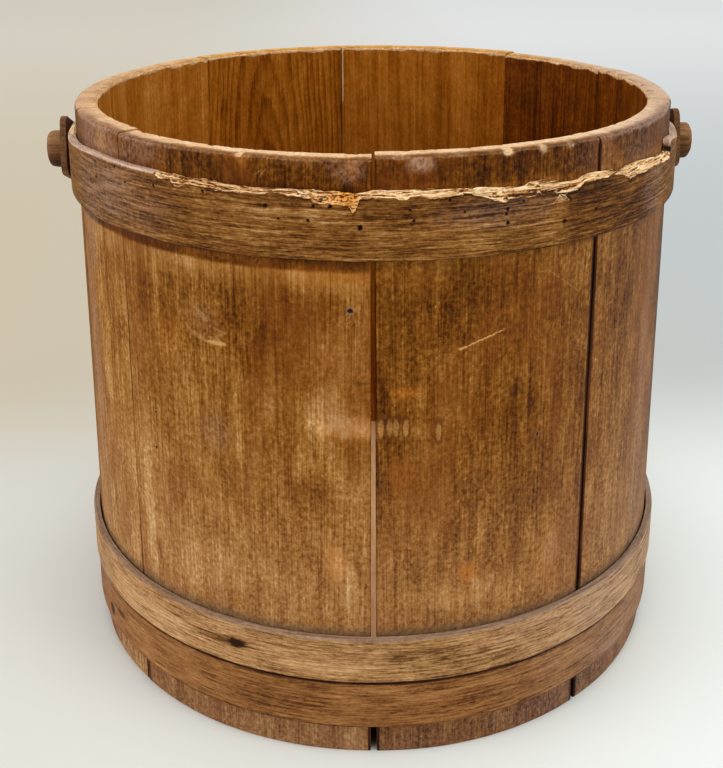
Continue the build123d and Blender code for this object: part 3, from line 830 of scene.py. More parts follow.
def add_slivers(points, faces, looks, play, thickness, high):
    """Fibres that stand out of the tear: those that show one by one, then finer ones all along it."""
    lines = []
    stand_off = play + thickness
    for strand in strands:
        places = [seen(x, y, stand_off) for x, y in strand]
        lines.append(([round_about(a, outer_radius(z) + stand_off - 0.1, z) for a, z in places], 0.6))
    face_azimuth, face_drop = tear_line(2, stand_off, high)
    back_azimuth, back_drop = tear_line(1, play, high)
    for index in range(fine_fibre_count):
        chance = lattice(np.array([[index, axis, 0] for axis in range(7)]), 17)
        azimuth = face_azimuth[0] + 1 + chance[0] * (face_azimuth[-1] - face_azimuth[0] - 3)
        length = 2.5 + 11.0 * chance[1] ** 2
        deep = chance[2]
        out = play + thickness * (1 - deep)
        drop = np.interp(azimuth, face_azimuth, face_drop) * (1 - deep)
        drop = drop + np.interp(azimuth, back_azimuth, back_drop) * deep
        turn = math.degrees(length / base_radius)
        rise = 0.3 + 1.0 * (chance[3] - 0.5)
        reach = outer_radius(high) + out + 0.35 * chance[4]
        place = [
            round_about(azimuth + turn * part, reach, high - drop + lift)
            for part, lift in ((0, -0.3), (0.5, 0.15 + 0.3 * rise), (1, rise * 0.8 * chance[5] - 0.1))
        ]
        lines.append((place, 0.16 + 0.34 * chance[6] ** 2))
    for index, (line, thick) in enumerate(lines):
        shade = 0.5 * lattice(np.array([index, 9, 9]), 18) - 0.25
        more_points, more_faces = sliver(line, thick, index)
        faces = np.concatenate([faces, more_faces + len(points)])
        count = len(more_points)
        points = np.concatenate([points, more_points])
        azimuth = azimuth_of(more_points)
        across = np.radians(azimuth) * radius_of(more_points)
        more = {
            "grain": np.stack([more_points[:, 2], across, np.full(count, 2.0)], -1),
            "wall": np.stack([across, more_points[:, 2], np.full(count, 9.0)], -1),
            "tone": np.full(count, shade),
        }
        for key in looks:
            value = more.get(key, np.full(count, 1.0 if key == "fresh" else 0.0))
            looks[key] = np.concatenate([looks[key], value])
    return points, faces, looks


# Bottom boards
def bottom_board(number, pith):
    """A plank from front to back, thinned at the edge of the bottom to sit in the groove."""
    name = f"bottom_board_{number}"
    low, high = node_box(name)
    radius = base_radius - wall + croze_depth - bottom_seat
    edge_low, edge_high = croze_height + bottom_seat, croze_height + croze_width - bottom_seat
    width = high[0] - low[0]
    along = steps(width, board_column_step, (0, 0.3, 0.7, 1.4))
    deep = steps(1.0, 0.2, (0, 0.05))
    up = steps(2.0, 2 * board_row_step / radius, (0, 0.004, 0.012, 0.03, 0.05, 0.08))
    (x, w, v), faces = block_skin(along, deep, up)
    x_place = low[0] + x
    chord = np.sqrt(np.maximum(radius ** 2 - np.minimum(np.abs(x_place), radius) ** 2, 0.0))
    y = (v - 1) * chord
    rim = radius - np.hypot(x_place, y)
    flat = np.clip(rim / bottom_bevel_length, 0, 1)
    z_low = edge_low + (low[2] - edge_low) * flat
    z_high = edge_high + (high[2] - edge_high) * flat
    side = np.minimum(np.abs(x), np.abs(width - x))
    groove = 0.35 * fade(side, 0, board_ease) * (rim > 1)
    relief = 0.15 * rough(x_place / 22, y / 130, seed=number) + 0.05 * rough(x_place / 5, y / 60, seed=number)
    z_high = z_high - groove + np.minimum(relief - 0.2, 0) * flat
    z_low = z_low + groove
    z = z_high + (z_low - z_high) * w
    points = np.stack([x_place, y, z], -1)
    wander = 5 * noise(y / 150, x_place / 50, seed=number) + 1.4 * noise(y / 50, seed=number + 3)
    looks = {
        "grain": np.stack([x_place + 300 * number, y, z], -1),
        "ring": np.hypot(x_place - pith + wander, z + 45 + 0.05 * y) / 4.6,
        "worn": 0.5 * fade(side, 0, 1.0),
        "tone": np.full_like(z, 0.05 * (number - 2)),
    }
    return make_mesh(name + "_wood", points, faces, looks)


# Bail
def bail():
    """A bent strip, a half oval with a short straight tail past each peg."""
    points = node_points("bail")
    half_span = node_box("bail")[1][0] - bail_thickness / 2
    bow = points[np.abs(points[:, 0]) < half_span * 0.1].mean(0)
    drop = math.atan2(pivot[2] - bow[2], bow[1])
    bow_reach = math.hypot(bow[1], pivot[2] - bow[2])
    turn = np.linspace(0, math.pi, 2001)
    arc = np.stack([half_span * np.cos(turn), bow_reach * np.sin(turn)], -1)
    tail = np.linspace(-bail_tail, 0, 60)[:-1]
    line = np.concatenate([
        np.stack([np.full(len(tail), half_span), tail], -1), arc,
        np.stack([np.full(len(tail), -half_span), tail[::-1]], -1),
    ])
    run = np.concatenate([[0], np.cumsum(np.linalg.norm(np.diff(line, axis=0), axis=1))])
    total = run[-1]
    along = steps(total, bail_column_step, bail_end_steps)
    deep = steps(1.0, 0.3, (0, 0.12, 0.3))
    up = steps(bail_width, bail_row_step, bail_edge_steps)
    (t, w, v), faces = block_skin(along, deep, up)
    into = w * bail_thickness
    eased = bail_ease + 0.2 * rough(t / 12, seed=31)
    out, from_low = ease(into, v, eased)
    out, from_top = ease(out, bail_width - v, eased)
    back, from_low = ease(bail_thickness - into, from_low, eased)
    back, from_top = ease(back, from_top, eased)
    into = out + bail_thickness - into - back
    from_low, from_start = ease(from_low, t, bail_end_round)
    from_top, from_start = ease(from_top, from_start, bail_end_round)
    from_low, from_end = ease(from_low, total - t, bail_end_round)
    from_top, from_end = ease(from_top, from_end, bail_end_round)
    place = t + (from_start - t) - (from_end - (total - t))
    across = np.where(v > bail_width / 2, bail_width - from_top, from_low)
    x = np.interp(place, run, line[:, 0])
    y = np.interp(place, run, line[:, 1])
    after, before = (
        np.stack([np.interp(place + step, run, line[:, axis]) for axis in (0, 1)], -1) for step in (0.5, -0.5)
    )
    ahead = after - before
    ahead /= np.maximum(np.linalg.norm(ahead, axis=1), 1e-9)[:, None]
    worn_edge = 0.25 * rough(t / 16, seed=33) * np.abs(2 * v / bail_width - 1)
    wave = 0.1 * rough(t / 30, v / 14, seed=34) + 0.05 * rough(t / 9, v / 1.5, seed=35)
    off = bail_thickness / 2 - into - np.maximum(wave, 0) * np.where(w < 0.5, 1, -1)
    x, y = x + ahead[:, 1] * off, y - ahead[:, 0] * off
    h = across - bail_width / 2 - worn_edge * np.sign(v - bail_width / 2)
    turned_y = y * math.cos(drop) + h * math.sin(drop)
    turned_z = h * math.cos(drop) - y * math.sin(drop)
    made = np.stack([x, turned_y, turned_z], -1)
    wander = 2.0 * noise(t / 120, seed=36) + 0.8 * noise(t / 40, v / 10, seed=37)
    looks = {
        "grain": np.stack([v, t, into], -1),
        "ring": (v + 0.5 * into + wander) / 2.8,
        "worn": fade(np.minimum(v, bail_width - v), 0.2, 1.4),
        "tone": np.zeros_like(t),
    }
    return make_mesh("bail_wood", made + pivot, faces, looks)


# Pegs
def peg(side_name, side):
    """A turned peg, with its round head outside the bail. The side is 1 at +X and -1 at -X."""
    low, high = node_box(f"{side_name}_peg")
    inner, outer = (low[0], high[0]) if side > 0 else (-high[0], -low[0])
    head_inner = outer - head_length
    shank = [(inner, 0.3), (inner, 0.55 * shank_radius)]
    shank += [(inner, shank_radius - 0.6), (inner + 0.5, shank_radius)]
    head = [(head_inner + head_length * along, head_radius * out) for along, out in head_outline]
    profile = [*shank, (head_inner - 1, shank_radius), (head_inner, shank_radius), *head]
    marks = np.concatenate([[0], np.cumsum([math.dist(a, b) for a, b in zip(profile, profile[1:])])])
    spots = np.unique(np.concatenate([marks, np.linspace(0, marks[-1], peg_places)]))
    x = np.interp(spots, marks, [place[0] for place in profile])
    r = np.interp(spots, marks, [place[1] for place in profile])
    turns = np.linspace(0, 2 * math.pi, peg_sides, endpoint=False)
    x, turn = np.meshgrid(x, turns, indexing="ij")
    r = np.repeat(r[:, None], len(turns), 1)
    on_head = smooth(x, head_inner - 0.3, head_inner + 0.2)
    seed = 50 + side
    facet = 0.22 * np.abs(np.sin(4.5 * turn + 1.5 * noise(x / 6, seed=seed)))
    lumps = 0.3 * rough(x / 5, np.cos(turn) * 1.5, np.sin(turn) * 1.5, seed=seed)
    r = r - on_head * np.maximum(facet + lumps, 0) * smooth(r, 1, 5)
    made = np.stack([side * x, r * np.cos(turn), r * np.sin(turn)], -1)
    number = np.arange(x.size).reshape(x.shape)
    after = np.roll(number, -1, axis=1)
    quads = np.stack([number[:-1], number[1:], after[1:], after[:-1]], -1).reshape(-1, 4)
    if side < 0:
        quads = quads[:, ::-1]
    caps = [list(number[0][::side]), list(number[-1][::-side])]
    points = made.reshape(-1, 3) + pivot
    across, up = r * np.cos(turn), r * np.sin(turn)
    looks = {
        "grain": np.stack([across, x + 40 * side, up], -1).reshape(-1, 3),
        "ring": (np.hypot(across + 14, up - 5) / 2.2).ravel(),
        "worn": (0.6 * on_head * smooth(x, head_inner + 4, head_inner + 8)).ravel(),
        # Painted light and shade: the tone is paler on the peg's upper side and darker underneath
        "tone": (0.3 * smooth(np.sin(turn), 0.1, 0.8) - 0.3 * smooth(-np.sin(turn), -0.2, 0.5)).ravel(),
    }
    return make_mesh(f"{side_name}_peg_wood", points, [list(quad) for quad in quads] + caps, looks)


# Materials
def srgb(red, green, blue):
    """A colour as the eye reads it, from 0 to 255, as Blender's numbers."""
    shares = [value / 255 for value in (red, green, blue)]
    linear = [v / 12.92 if v <= 0.04045 else ((v + 0.055) / 1.055) ** 2.4 for v in shares]
    return (*linear, 1.0)


class Wire:
    """A number or a vector that a material works out, with the usual signs."""

    def __init__(self, shader, socket):
        self.shader, self.socket = shader, socket

    def __add__(self, other):
        return self.shader.math("ADD", self, other)

    def __sub__(self, other):
        return self.shader.math("SUBTRACT", self, other)

    def __rsub__(self, other):
        return self.shader.math("SUBTRACT", other, self)

    def __mul__(self, other):
        return self.shader.math("MULTIPLY", self, other)

    __radd__ = __add__

    def swing(self, amount):
        """How far it is above or below a half, times an amount."""
        return (self - 0.5) * amount


class Shader:
    """One material, with short calls that add its nodes."""

    def __init__(self, name):
        self.material = bpy.data.materials.new(name)
        self.material.use_nodes = True
        self.tree = self.material.node_tree
        self.surface = self.tree.nodes["Principled BSDF"]

    def feed(self, socket, value):
        if isinstance(value, Wire):
            self.tree.links.new(value.socket, socket)
        else:
            socket.default_value = value

    def node(self, kind, inputs, output=0, **settings):
        made = self.tree.nodes.new(kind)
        for key, value in settings.items():
            setattr(made, key, value)
        for key, value in inputs.items():
            self.feed(made.inputs[key], value)
        return Wire(self, made.outputs[output])

    def math(self, operation, first, second=0.0):
        return self.node("ShaderNodeMath", {0: first, 1: second}, operation=operation)

    def look(self, name, output="Fac"):
        return self.node("ShaderNodeAttribute", {}, output, attribute_name=name)

    def vector(self, operation, first, second=(0.0, 0.0, 0.0), output="Vector"):
        return self.node("ShaderNodeVectorMath", {0: first, 1: second}, output, operation=operation)

    def stretched(self, vector, scale):
        return self.vector("MULTIPLY", vector, scale)

    def part(self, vector, axis):
        """One part of a vector: 0, 1 or 2."""
        return self.node("ShaderNodeSeparateXYZ", {0: vector}, axis)

    def noise(self, vector, scale, detail=3.0, roughness=0.55, distortion=0.0):
        """Noise from 0 to 1, with its own scale along each way of the grain."""
        inputs = {
            "Vector": self.stretched(vector, scale), "Scale": 1.0, "Detail": detail,
            "Roughness": roughness, "Distortion": distortion,
        }
        return self.node("ShaderNodeTexNoise", inputs, "Fac")

    def smooth(self, value, low, high, to_low=0.0, to_high=1.0):
        inputs = {"Value": value, "From Min": low, "From Max": high, "To Min": to_low, "To Max": to_high}
        return self.node("ShaderNodeMapRange", inputs, interpolation_type="SMOOTHSTEP")

    def fade(self, value, low, high, most=1.0):
        """From the most below low to 0 above high."""
        return self.smooth(value, low, high, most, 0.0)

    def mix(self, share, first, second, blend="MIX"):
        made = self.tree.nodes.new("ShaderNodeMix")
        made.data_type, made.blend_type, made.clamp_factor = "RGBA", blend, True
        self.feed(made.inputs[0], share)
        self.feed(made.inputs[6], first)
        self.feed(made.inputs[7], second)
        return Wire(self, made.outputs[2])

    def overlaid(self, colour, share, overlay_colour):
        """The colour with a share of a named one over it, used for stains and for painted shade and sheen
        alike.
        """
        return self.mix(share, colour, srgb(*overlay_colour))

    def duller(self, colour, share):
        """The colour with a share of its saturation gone."""
        return self.node("ShaderNodeHueSaturation", {"Saturation": 1 - share, "Color": colour})

    def palette(self, tone, colours):
        """Colours spread evenly over a tone from 0 to 1."""
        made = self.tree.nodes.new("ShaderNodeValToRGB")
        ramp = made.color_ramp
        while len(ramp.elements) < len(colours):
            ramp.elements.new(0.5)
        for index, colour in enumerate(colours):
            ramp.elements[index].position = index / (len(colours) - 1)
            ramp.elements[index].color = srgb(*colour)
        self.feed(made.inputs[0], tone)
        return Wire(self, made.outputs[0])

    def spots(self, place, table):
        """How near the closest of some round spots is: 0 in its middle and 1 at its edge."""
        nearest = 9.0
        for (u, v), radius in table:
            distance = self.vector("DISTANCE", place, (u, v, 0.0), "Value")
            nearest = self.math("MINIMUM", distance * (1 / radius), nearest)
        return nearest

    def strokes(self, place, table):
        """How near the closest of some straight strokes is, as a share of its half width."""
        nearest = 9.0
        for (u0, v0), (u1, v1), half_width in table:
            length = math.hypot(u1 - u0, v1 - v0)
            ahead = ((u1 - u0) / length, (v1 - v0) / length, 0.0)
            beside = (-ahead[1], ahead[0], 0.0)
            middle = (u0 + u1) / 2, (v0 + v1) / 2, 0.0
            offset = self.vector("SUBTRACT", place, middle)
            along = self.math("ABSOLUTE", self.vector("DOT_PRODUCT", offset, ahead, "Value"))
            aside = self.math("ABSOLUTE", self.vector("DOT_PRODUCT", offset, beside, "Value"))
            taper = self.math("POWER", along * (2 / length), 4.0)
            nearest = self.math("MINIMUM", aside * (1 / half_width) + taper, nearest)
        return nearest

    def finish(self, colour, roughness, height, strength=0.5, distance=0.0006):
        """Feeds the surface its colour, roughness and relief, and gives back the material."""
        self.feed(self.surface.inputs["Base Color"], colour)
        self.feed(self.surface.inputs["Roughness"], roughness)
        bump = self.node("ShaderNodeBump", {"Height": height}, "Normal")
        bump.socket.node.inputs["Strength"].default_value = strength
        bump.socket.node.inputs["Distance"].default_value = distance
        self.feed(self.surface.inputs["Normal"], bump)
        return self.material


# Colours from dark to pale
stave_colours = ((42, 16, 0), (84, 42, 2), (122, 71, 12), (156, 104, 42), (188, 140, 82), (222, 184, 132))
inside_colours = ((62, 24, 0), (112, 55, 3), (152, 86, 12), (184, 116, 36), (214, 158, 84))
worn_colours = ((112, 68, 28), (180, 134, 86), (216, 174, 124), (240, 210, 172))
rubbed_colours = ((84, 50, 22), (138, 98, 62), (182, 148, 110))
fresh_colours = ((92, 48, 16), (178, 120, 62), (226, 184, 130), (246, 216, 168), (253, 236, 202))
hoop_colours = ((34, 14, 2), (78, 42, 10), (122, 76, 28), (160, 112, 58), (198, 156, 108))
top_edge_colours = ((112, 80, 60), (170, 136, 114), (212, 182, 160), (232, 208, 188))
hoop_edge_colours = ((84, 60, 40), (130, 100, 76), (164, 134, 108), (188, 162, 136))
upper_hoop_colours = ((44, 22, 8), (106, 68, 32), (172, 126, 78), (206, 164, 116), (230, 196, 152))
lower_hoop_colours = ((38, 16, 6), (90, 50, 20), (146, 96, 50), (176, 128, 80), (206, 162, 114))
bail_colours = ((30, 17, 9), (66, 41, 23), (102, 68, 41), (134, 95, 62), (164, 124, 88))
peg_colours = ((40, 21, 9), (78, 48, 25), (110, 74, 43), (138, 99, 63), (168, 128, 90))
board_colours = ((166, 110, 62), (210, 156, 104), (236, 190, 142), (246, 212, 168))
slip_colours = ((92, 58, 28), (142, 98, 54), (178, 134, 84), (198, 158, 108))
iron_colours = ((30, 27, 26), (52, 42, 36), (86, 52, 32), (104, 62, 36))
# Single colours: grey bloom with painted sheen, and stains, worn marks, holes and the square break with
# painted shade in them, the tear with its painted shadows, and the floor from left to right with the bucket's
# painted shadow
bloom_and_sheen_colour, grime_stain = (166, 132, 112), (88, 72, 50)
warm_stain, red_stain = (192, 112, 32), (124, 62, 16)
scratch_colour, faint_scratch_colour, dark_stroke_colour = (216, 164, 98), (196, 150, 96), (54, 24, 6)
finger_colour, finger_outline_colour = (184, 136, 78), (84, 44, 10)
hole_shade_colour, hole_edge_colour = (14, 8, 6), (160, 128, 104)
hoop_hole_shade_colour, square_break_shade_colour = (16, 8, 5), (20, 9, 5)
tear_gold, tear_shadow_colour = (240, 200, 128), (66, 36, 14)
flake_colour, flake_shadow_colour = (176, 128, 82), (44, 22, 10)
# The near floor's right colour is painted pale, which lightens the bucket's shadow on that side
floor_near_colours = (215, 212, 202), (242, 250, 248)
floor_back_colours = (204, 192, 167), (192, 199, 200)
floor_far_colours = (222, 217, 203), (238, 240, 240)
floor_shadow_colour = (40, 26, 14)
backdrop_colour, studio_light_colour = (222, 219, 213), (236, 236, 236)
wood_shine = 0.06

# How much each figure of a wood counts: late rings, fibres, fine fibres, blotches, clouds and mottling
stave_weights = (0.08, 0.6, 0.4, 0.45, 0.65, 0.35)
board_weights = (0.2, 0.6, 0.4, 0.5, 0.4, 0.3)
bail_weights = (0.1, 0.8, 0.4, 0.5, 0.4, 0.35)
peg_weights = (0.2, 0.6, 0.4, 0.5, 0.4, 0.4)

# Marks on the staves: strokes between two pixels with their half widths, and the pixels of finger marks
scratches = (
    ((206, 341), (227, 345), 1.25), ((458, 350), (508, 327), 0.42), ((458, 350), (467, 346), 0.8),
    ((519, 584), (521, 592), 0.5), ((372, 384), (372, 450), 0.3),
)
faint_scratches = (
    ((184, 321), (192, 331), 0.6), ((190, 330), (208, 342), 1.3), ((214, 337), (228, 333), 0.7),
    ((196, 308), (208, 322), 1.8), ((212, 327), (226, 334), 0.7), ((207, 336), (222, 341), 0.8),
    ((259, 178), (266, 168), 0.25), ((254, 176), (262, 169), 0.2), ((540, 272), (549, 270), 0.2),
    ((549, 270), (560, 278), 0.25), ((560, 278), (578, 290), 0.25), ((606, 305), (612, 302), 0.3),
    ((345, 322), (352, 312), 0.2), ((352, 312), (358, 330), 0.2), ((351, 312), (345, 332), 0.2),
    ((349, 313), (339, 318), 0.2), ((352, 311), (360, 306), 0.25), ((338, 424), (342, 430), 0.3),
)
dark_strokes = (
    ((308, 280), (310, 385), 0.3), ((310, 385), (314, 470), 0.35), ((314, 470), (317, 540), 0.3),
    ((317, 540), (320, 608), 0.35), ((146, 545), (148, 582), 0.35), ((352, 384), (371, 384), 1.0),
    ((255, 262), (256, 330), 0.2), ((239, 262), (241, 300), 0.2), ((372, 452), (373, 520), 0.2),
    ((440, 352), (456, 353), 0.5), ((500, 548), (504, 572), 0.4), ((360, 306), (364, 310), 0.4),
)
finger_marks = ((381, 429), (389.5, 428), (396, 428), (406, 428), (438.5, 432))
finger_radius, finger_length_share = 1.5, 0.3

# Heights on the staves where each stain and the painted shadow under the top hoop start and are full, or are
# full and end
old_stain_rise, clean_strip_rise, strip_shade_rise = (281, 289), (236, 246), (248.8, 251)
pale_foot_fade, grime_fade, grime_rise = (60, 200), (70, 76), (60, 68)
# Across the front, where the strip under the top hoop is cleaner and the hoop's painted shadow falls
strip_fade = (-14, -5)


class Figure(NamedTuple):
    """The figure of a wood, each part from 0 to 1."""

    rings: Wire
    late: Wire
    fibres: Wire
    fine: Wire
    mottle: Wire


def grown(shader, grain, fibre_step):
    """Rings, the same where they show strongly, long fibres, finer ones, and mottling."""
    jitter = shader.noise(grain, (0.5, 0.012, 0.5))
    phase = shader.math("FRACT", shader.look("ring") + jitter * 0.9)
    strong = shader.smooth(shader.noise(grain, (0.05, 0.006, 0.05)), 0.38, 0.66)
    rings = shader.smooth(phase, 0.3, 0.9) * shader.fade(phase, 0.9, 1.0)
    fibres = shader.noise(grain, (0.9, fibre_step, 0.9), 3.0, 0.66)
    fine = shader.noise(grain, (1.4, 4 * fibre_step, 1.4), 3.0, 0.7)
    mottle = shader.noise(grain, (0.75, 0.42, 0.75), 4.0, 0.75)
    return Figure(rings, rings * strong, fibres, fine, mottle)


def wood(name, weights, streaks=0.0, middle=0.5, fibre_step=0.035):
    """A wood's shader, its grain, its tone and its figure. The tone adds up the figures by their weights."""
    shader = Shader(name)
    grain = shader.look("grain", "Vector")
    figure = grown(shader, grain, fibre_step)
    blotch = shader.noise(grain, (0.028, 0.012, 0.028), 4.0, 0.55, 0.5)
    cloud = shader.noise(grain, (0.13, 0.045, 0.13), 4.0, 0.6, 0.4)
    late_weight, *swing_weights = weights
    tone = middle + figure.late * -late_weight
    for part, weight in zip((figure.fibres, figure.fine, blotch, cloud, figure.mottle), swing_weights):
        tone = tone + part.swing(weight)
    tone = tone + shader.look("tone")
    if streaks:
        dashes = shader.noise(grain, (1.3, 0.05, 1.3), 3.0, 0.7, 0.3)
        tone = tone - shader.smooth(dashes, 0.54, 0.68) * streaks
    return shader, grain, tone, figure


def finish_wood(shader, tone, colour, figure, roughness, strength):
    height = figure.late * 0.25 + figure.fibres * 0.8 + figure.fine * 0.6 + figure.mottle * 0.5
    rough_share = shader.smooth(tone + figure.mottle.swing(0.8), 0.2, 0.9, *roughness)
    shader.surface.inputs["Specular IOR Level"].default_value = wood_shine
    return shader.finish(colour, rough_share, height, strength)


def with_bloom_and_sheen(shader, colour, unevenness):
    """The colour under a grey bloom, partly dry varnish and partly painted sheen, thinner where it is uneven.
    """
    share = shader.look("bloom") * shader.smooth(unevenness, 0.4, 0.6, 0.06, 0.85)
    return shader.overlaid(colour, share, bloom_and_sheen_colour)


def stave_wood():
    """Old varnished pine, darker above the top hoop, with marks outside and a redder inside."""
    shader, grain, tone, figure = wood("stave_wood", stave_weights, fibre_step=0.014)
    place = shader.look("wall", "Vector")
    across, z, depth = (shader.part(place, axis) for axis in (0, 1, 2))
    ragged = shader.noise(place, (0.09, 0.05, 0.0), 5.0, 0.65)
    speckle = shader.noise(place, (0.5, 0.4, 0.5), 5.0, 0.72)
    # Older stain above the top hoop, a cleaner strip that the hoop once covered with the hoop's painted
    # shadow along its top on the left, and paler wood low down
    high = shader.smooth(z + ragged.swing(8), *old_stain_rise)
    covered = shader.smooth(z + ragged.swing(10), *clean_strip_rise) * (1 - high)
    on_left = shader.fade(across, *strip_fade)
    painted_hoop_shadow = shader.smooth(z + ragged.swing(2), *strip_shade_rise) * on_left
    low = shader.smooth(z + ragged.swing(120), *pale_foot_fade, 0.13, -0.02)
    tone = tone + low + high * -0.15 + covered * (on_left * 0.09 + 0.04) + painted_hoop_shadow * (1 - high) * -0.5
    # Dark strokes and hairs in the grain, specks, and long stains that follow it
    dashes = shader.noise(grain, (1.1, 0.05, 1.1), 3.0, 0.65, 0.3)
    hairs = shader.noise(grain, (1.3, 0.011, 1.3), 2.0, 0.5)
    specks = shader.noise(place, (1.2, 0.9, 1.2), 2.0, 0.5)
    stains = shader.noise(grain, (0.16, 0.007, 0.16), 3.0, 0.6, 0.6)
    for marks, start, full, darker in (
        (dashes, 0.6, 0.76, 0.16), (hairs, 0.62, 0.72, 0.17), (specks, 0.66, 0.76, 0.22),
        (stains, 0.54, 0.7, 0.1),
    ):
        tone = tone - shader.smooth(marks, start, full) * darker
    # Even speckle, with pale flecks in some places
    tone = tone + speckle.swing(1.05 - covered * on_left * 0.5)
    flecked = shader.smooth(shader.noise(place, (0.03, 0.025, 0.03)), 0.46, 0.62)
    flecks = shader.noise(place, (1.0, 0.9, 1.0), 2.0, 0.6)
    tone = tone + shader.smooth(flecks, 0.62, 0.76) * 0.4 * flecked
    # Warm and red stain in patches, and grey grime above the upper bottom hoop
    colour = shader.palette(tone, stave_colours)
    colour = shader.overlaid(colour, shader.look("glow") * shader.smooth(figure.mottle, 0.25, 0.7), warm_stain)
    red = shader.noise(grain, (0.03, 0.012, 0.03))
    colour = shader.overlaid(colour, shader.smooth(red, 0.46, 0.66, 0.0, 0.4), red_stain)
    dark_band = shader.fade(z + ragged.swing(6), *grime_fade) * shader.smooth(z, *grime_rise)
    colour = shader.overlaid(colour, dark_band * 0.6, grime_stain)
    inside = inside_wood(shader, grain, z, figure, ragged, speckle)
    colour = shader.mix(shader.smooth(depth, 1.5, 3.0), colour, inside)
    colour = worn_wood(shader, colour, place, figure, ragged)
    # Grey bloom and painted sheen over the wood
    colour = with_bloom_and_sheen(shader, colour, figure.mottle * 0.5 + speckle * 0.5)
    colour = stave_marks(shader, shader.duller(colour, shader.look("dull")), place, depth)
    return finish_wood(shader, tone, colour, figure, (0.5, 0.74), 0.4)


def inside_wood(shader, grain, z, figure, ragged, speckle):
    """The redder, cleaner inside of the staves."""
    bands = shader.noise(grain, (0.09, 0.003, 0.09), 3.0, 0.6, 0.3)
    tone = 0.62 + figure.fibres.swing(0.5) + ragged.swing(0.5) + figure.mottle.swing(0.6) + speckle.swing(0.4)
    tone = tone - figure.rings * shader.look("inside_rings") + bands.swing(0.65)
    tone = tone + shader.look("inside_tone") + shader.smooth(z, 40, 250, -0.1, 0.0)
    return shader.palette(tone, inside_colours)


def worn_wood(shader, colour, place, figure, ragged):
    """The colour with rubbed corners, the worn rim and the chips over it."""
    rubbed = shader.palette(0.5 + figure.mottle.swing(1.8) + ragged.swing(1.4), rubbed_colours)
    behind = shader.smooth(shader.math("ABSOLUTE", shader.part(place, 0)), 100, 200)
    worn_tone = 0.74 - behind * 0.16 + figure.mottle.swing(1.4) + figure.fine.swing(0.8) + ragged.swing(0.9)
    chipped = shader.noise(place, (0.4, 0.8, 0.4), 4.0, 0.7)
    share = shader.look("worn") + chipped.swing(0.7)
    colour = shader.mix(shader.smooth(share, 0.14, 0.42, 0.0, 0.6), colour, rubbed)
    return shader.mix(shader.smooth(share, 0.36, 0.84), colour, shader.palette(worn_tone, worn_colours))


def uneven(shader, place):
    """Places moved about a little, so that what is drawn at them has no true circles or straight lines."""
    wobble = shader.node("ShaderNodeTexNoise", {"Vector": place, "Scale": 0.8, "Detail": 3.0}, "Color")
    centred = shader.vector("SUBTRACT", wobble, (0.5, 0.5, 0.5))
    return shader.vector("ADD", place, shader.stretched(centred, (1.6, 1.6, 0.0)))


def stave_marks(shader, colour, place, depth):
    """Scratches, dark lines, pale finger marks and holes on the outer face, the holes' insides painted with
    shade.
    """
    wobbly = uneven(shader, place)
    broken = shader.smooth(shader.noise(place, (0.9, 0.9, 0.0), 3.0, 0.7), 0.36, 0.56)
    face = shader.fade(depth, 0.6, 1.2)
    for table, strength, tint in (
        (scratches, 0.85, scratch_colour), (faint_scratches, 0.42, faint_scratch_colour),
        (dark_strokes, 0.55, dark_stroke_colour),
    ):
        share = shader.fade(shader.strokes(wobbly, strokes_on_wall(table)), 0.3, 1.3, strength) * face
        colour = shader.overlaid(colour, share * (0.45 + broken * 0.55), tint)
    pressed = shader.stretched(wobbly, (1.0, finger_length_share, 0.0))
    centres = [on_wall(*pixel) for pixel in finger_marks]
    fingers = shader.spots(pressed, [((u, v * finger_length_share), finger_radius) for u, v in centres])
    outline = shader.smooth(fingers, 0.8, 1.0) * shader.fade(fingers, 1.2, 1.5)
    colour = shader.overlaid(colour, outline * 0.6 * face, finger_outline_colour)
    pressed_share = shader.fade(fingers, 0.6, 1.0, 0.5) * (0.35 + broken * 0.65) * face
    colour = shader.overlaid(colour, pressed_share, finger_colour)
    flat = shader.stretched(wobbly, (1.0, 1.0, 0.0))
    holes = shader.spots(flat, spots_on_wall(holes_on_staves))
    colour = shader.overlaid(colour, shader.fade(holes, 1.0, 2.2, 0.3) * face, hole_edge_colour)
    # Painted shade inside the holes
    return shader.overlaid(colour, shader.fade(holes, 0.7, 1.1, 0.95) * face, hole_shade_colour)


def hoop_wood(name, colours, edge_colours, strength, torn):
    """Dry, open-grained wood with a rubbed upper edge. The strength is that of its fibres."""
    weights = (0.06, 1.3 * strength, 1.0 * strength, 0.25, 0.5, 0.9 * strength)
    shader, grain, tone, figure = wood(name, weights, 0.34 * strength)
    fibres, mottle = figure.fibres, figure.mottle
    worn = shader.palette(0.5 + fibres.swing(1.2) + mottle.swing(1.0), edge_colours)
    wear = shader.smooth(shader.look("worn") + mottle.swing(0.8), 0.45, 0.8)
    # Grey bloom and painted sheen over the hoop
    colour = with_bloom_and_sheen(shader, shader.palette(tone, colours), fibres * 0.6 + mottle * 0.4)
    colour = shader.duller(shader.mix(wear, colour, worn), shader.look("dull"))
    if torn:
        colour = torn_wood(shader, colour, grain, figure.fine)
    return finish_wood(shader, tone, colour, figure, (0.5, 0.74), 0.5)


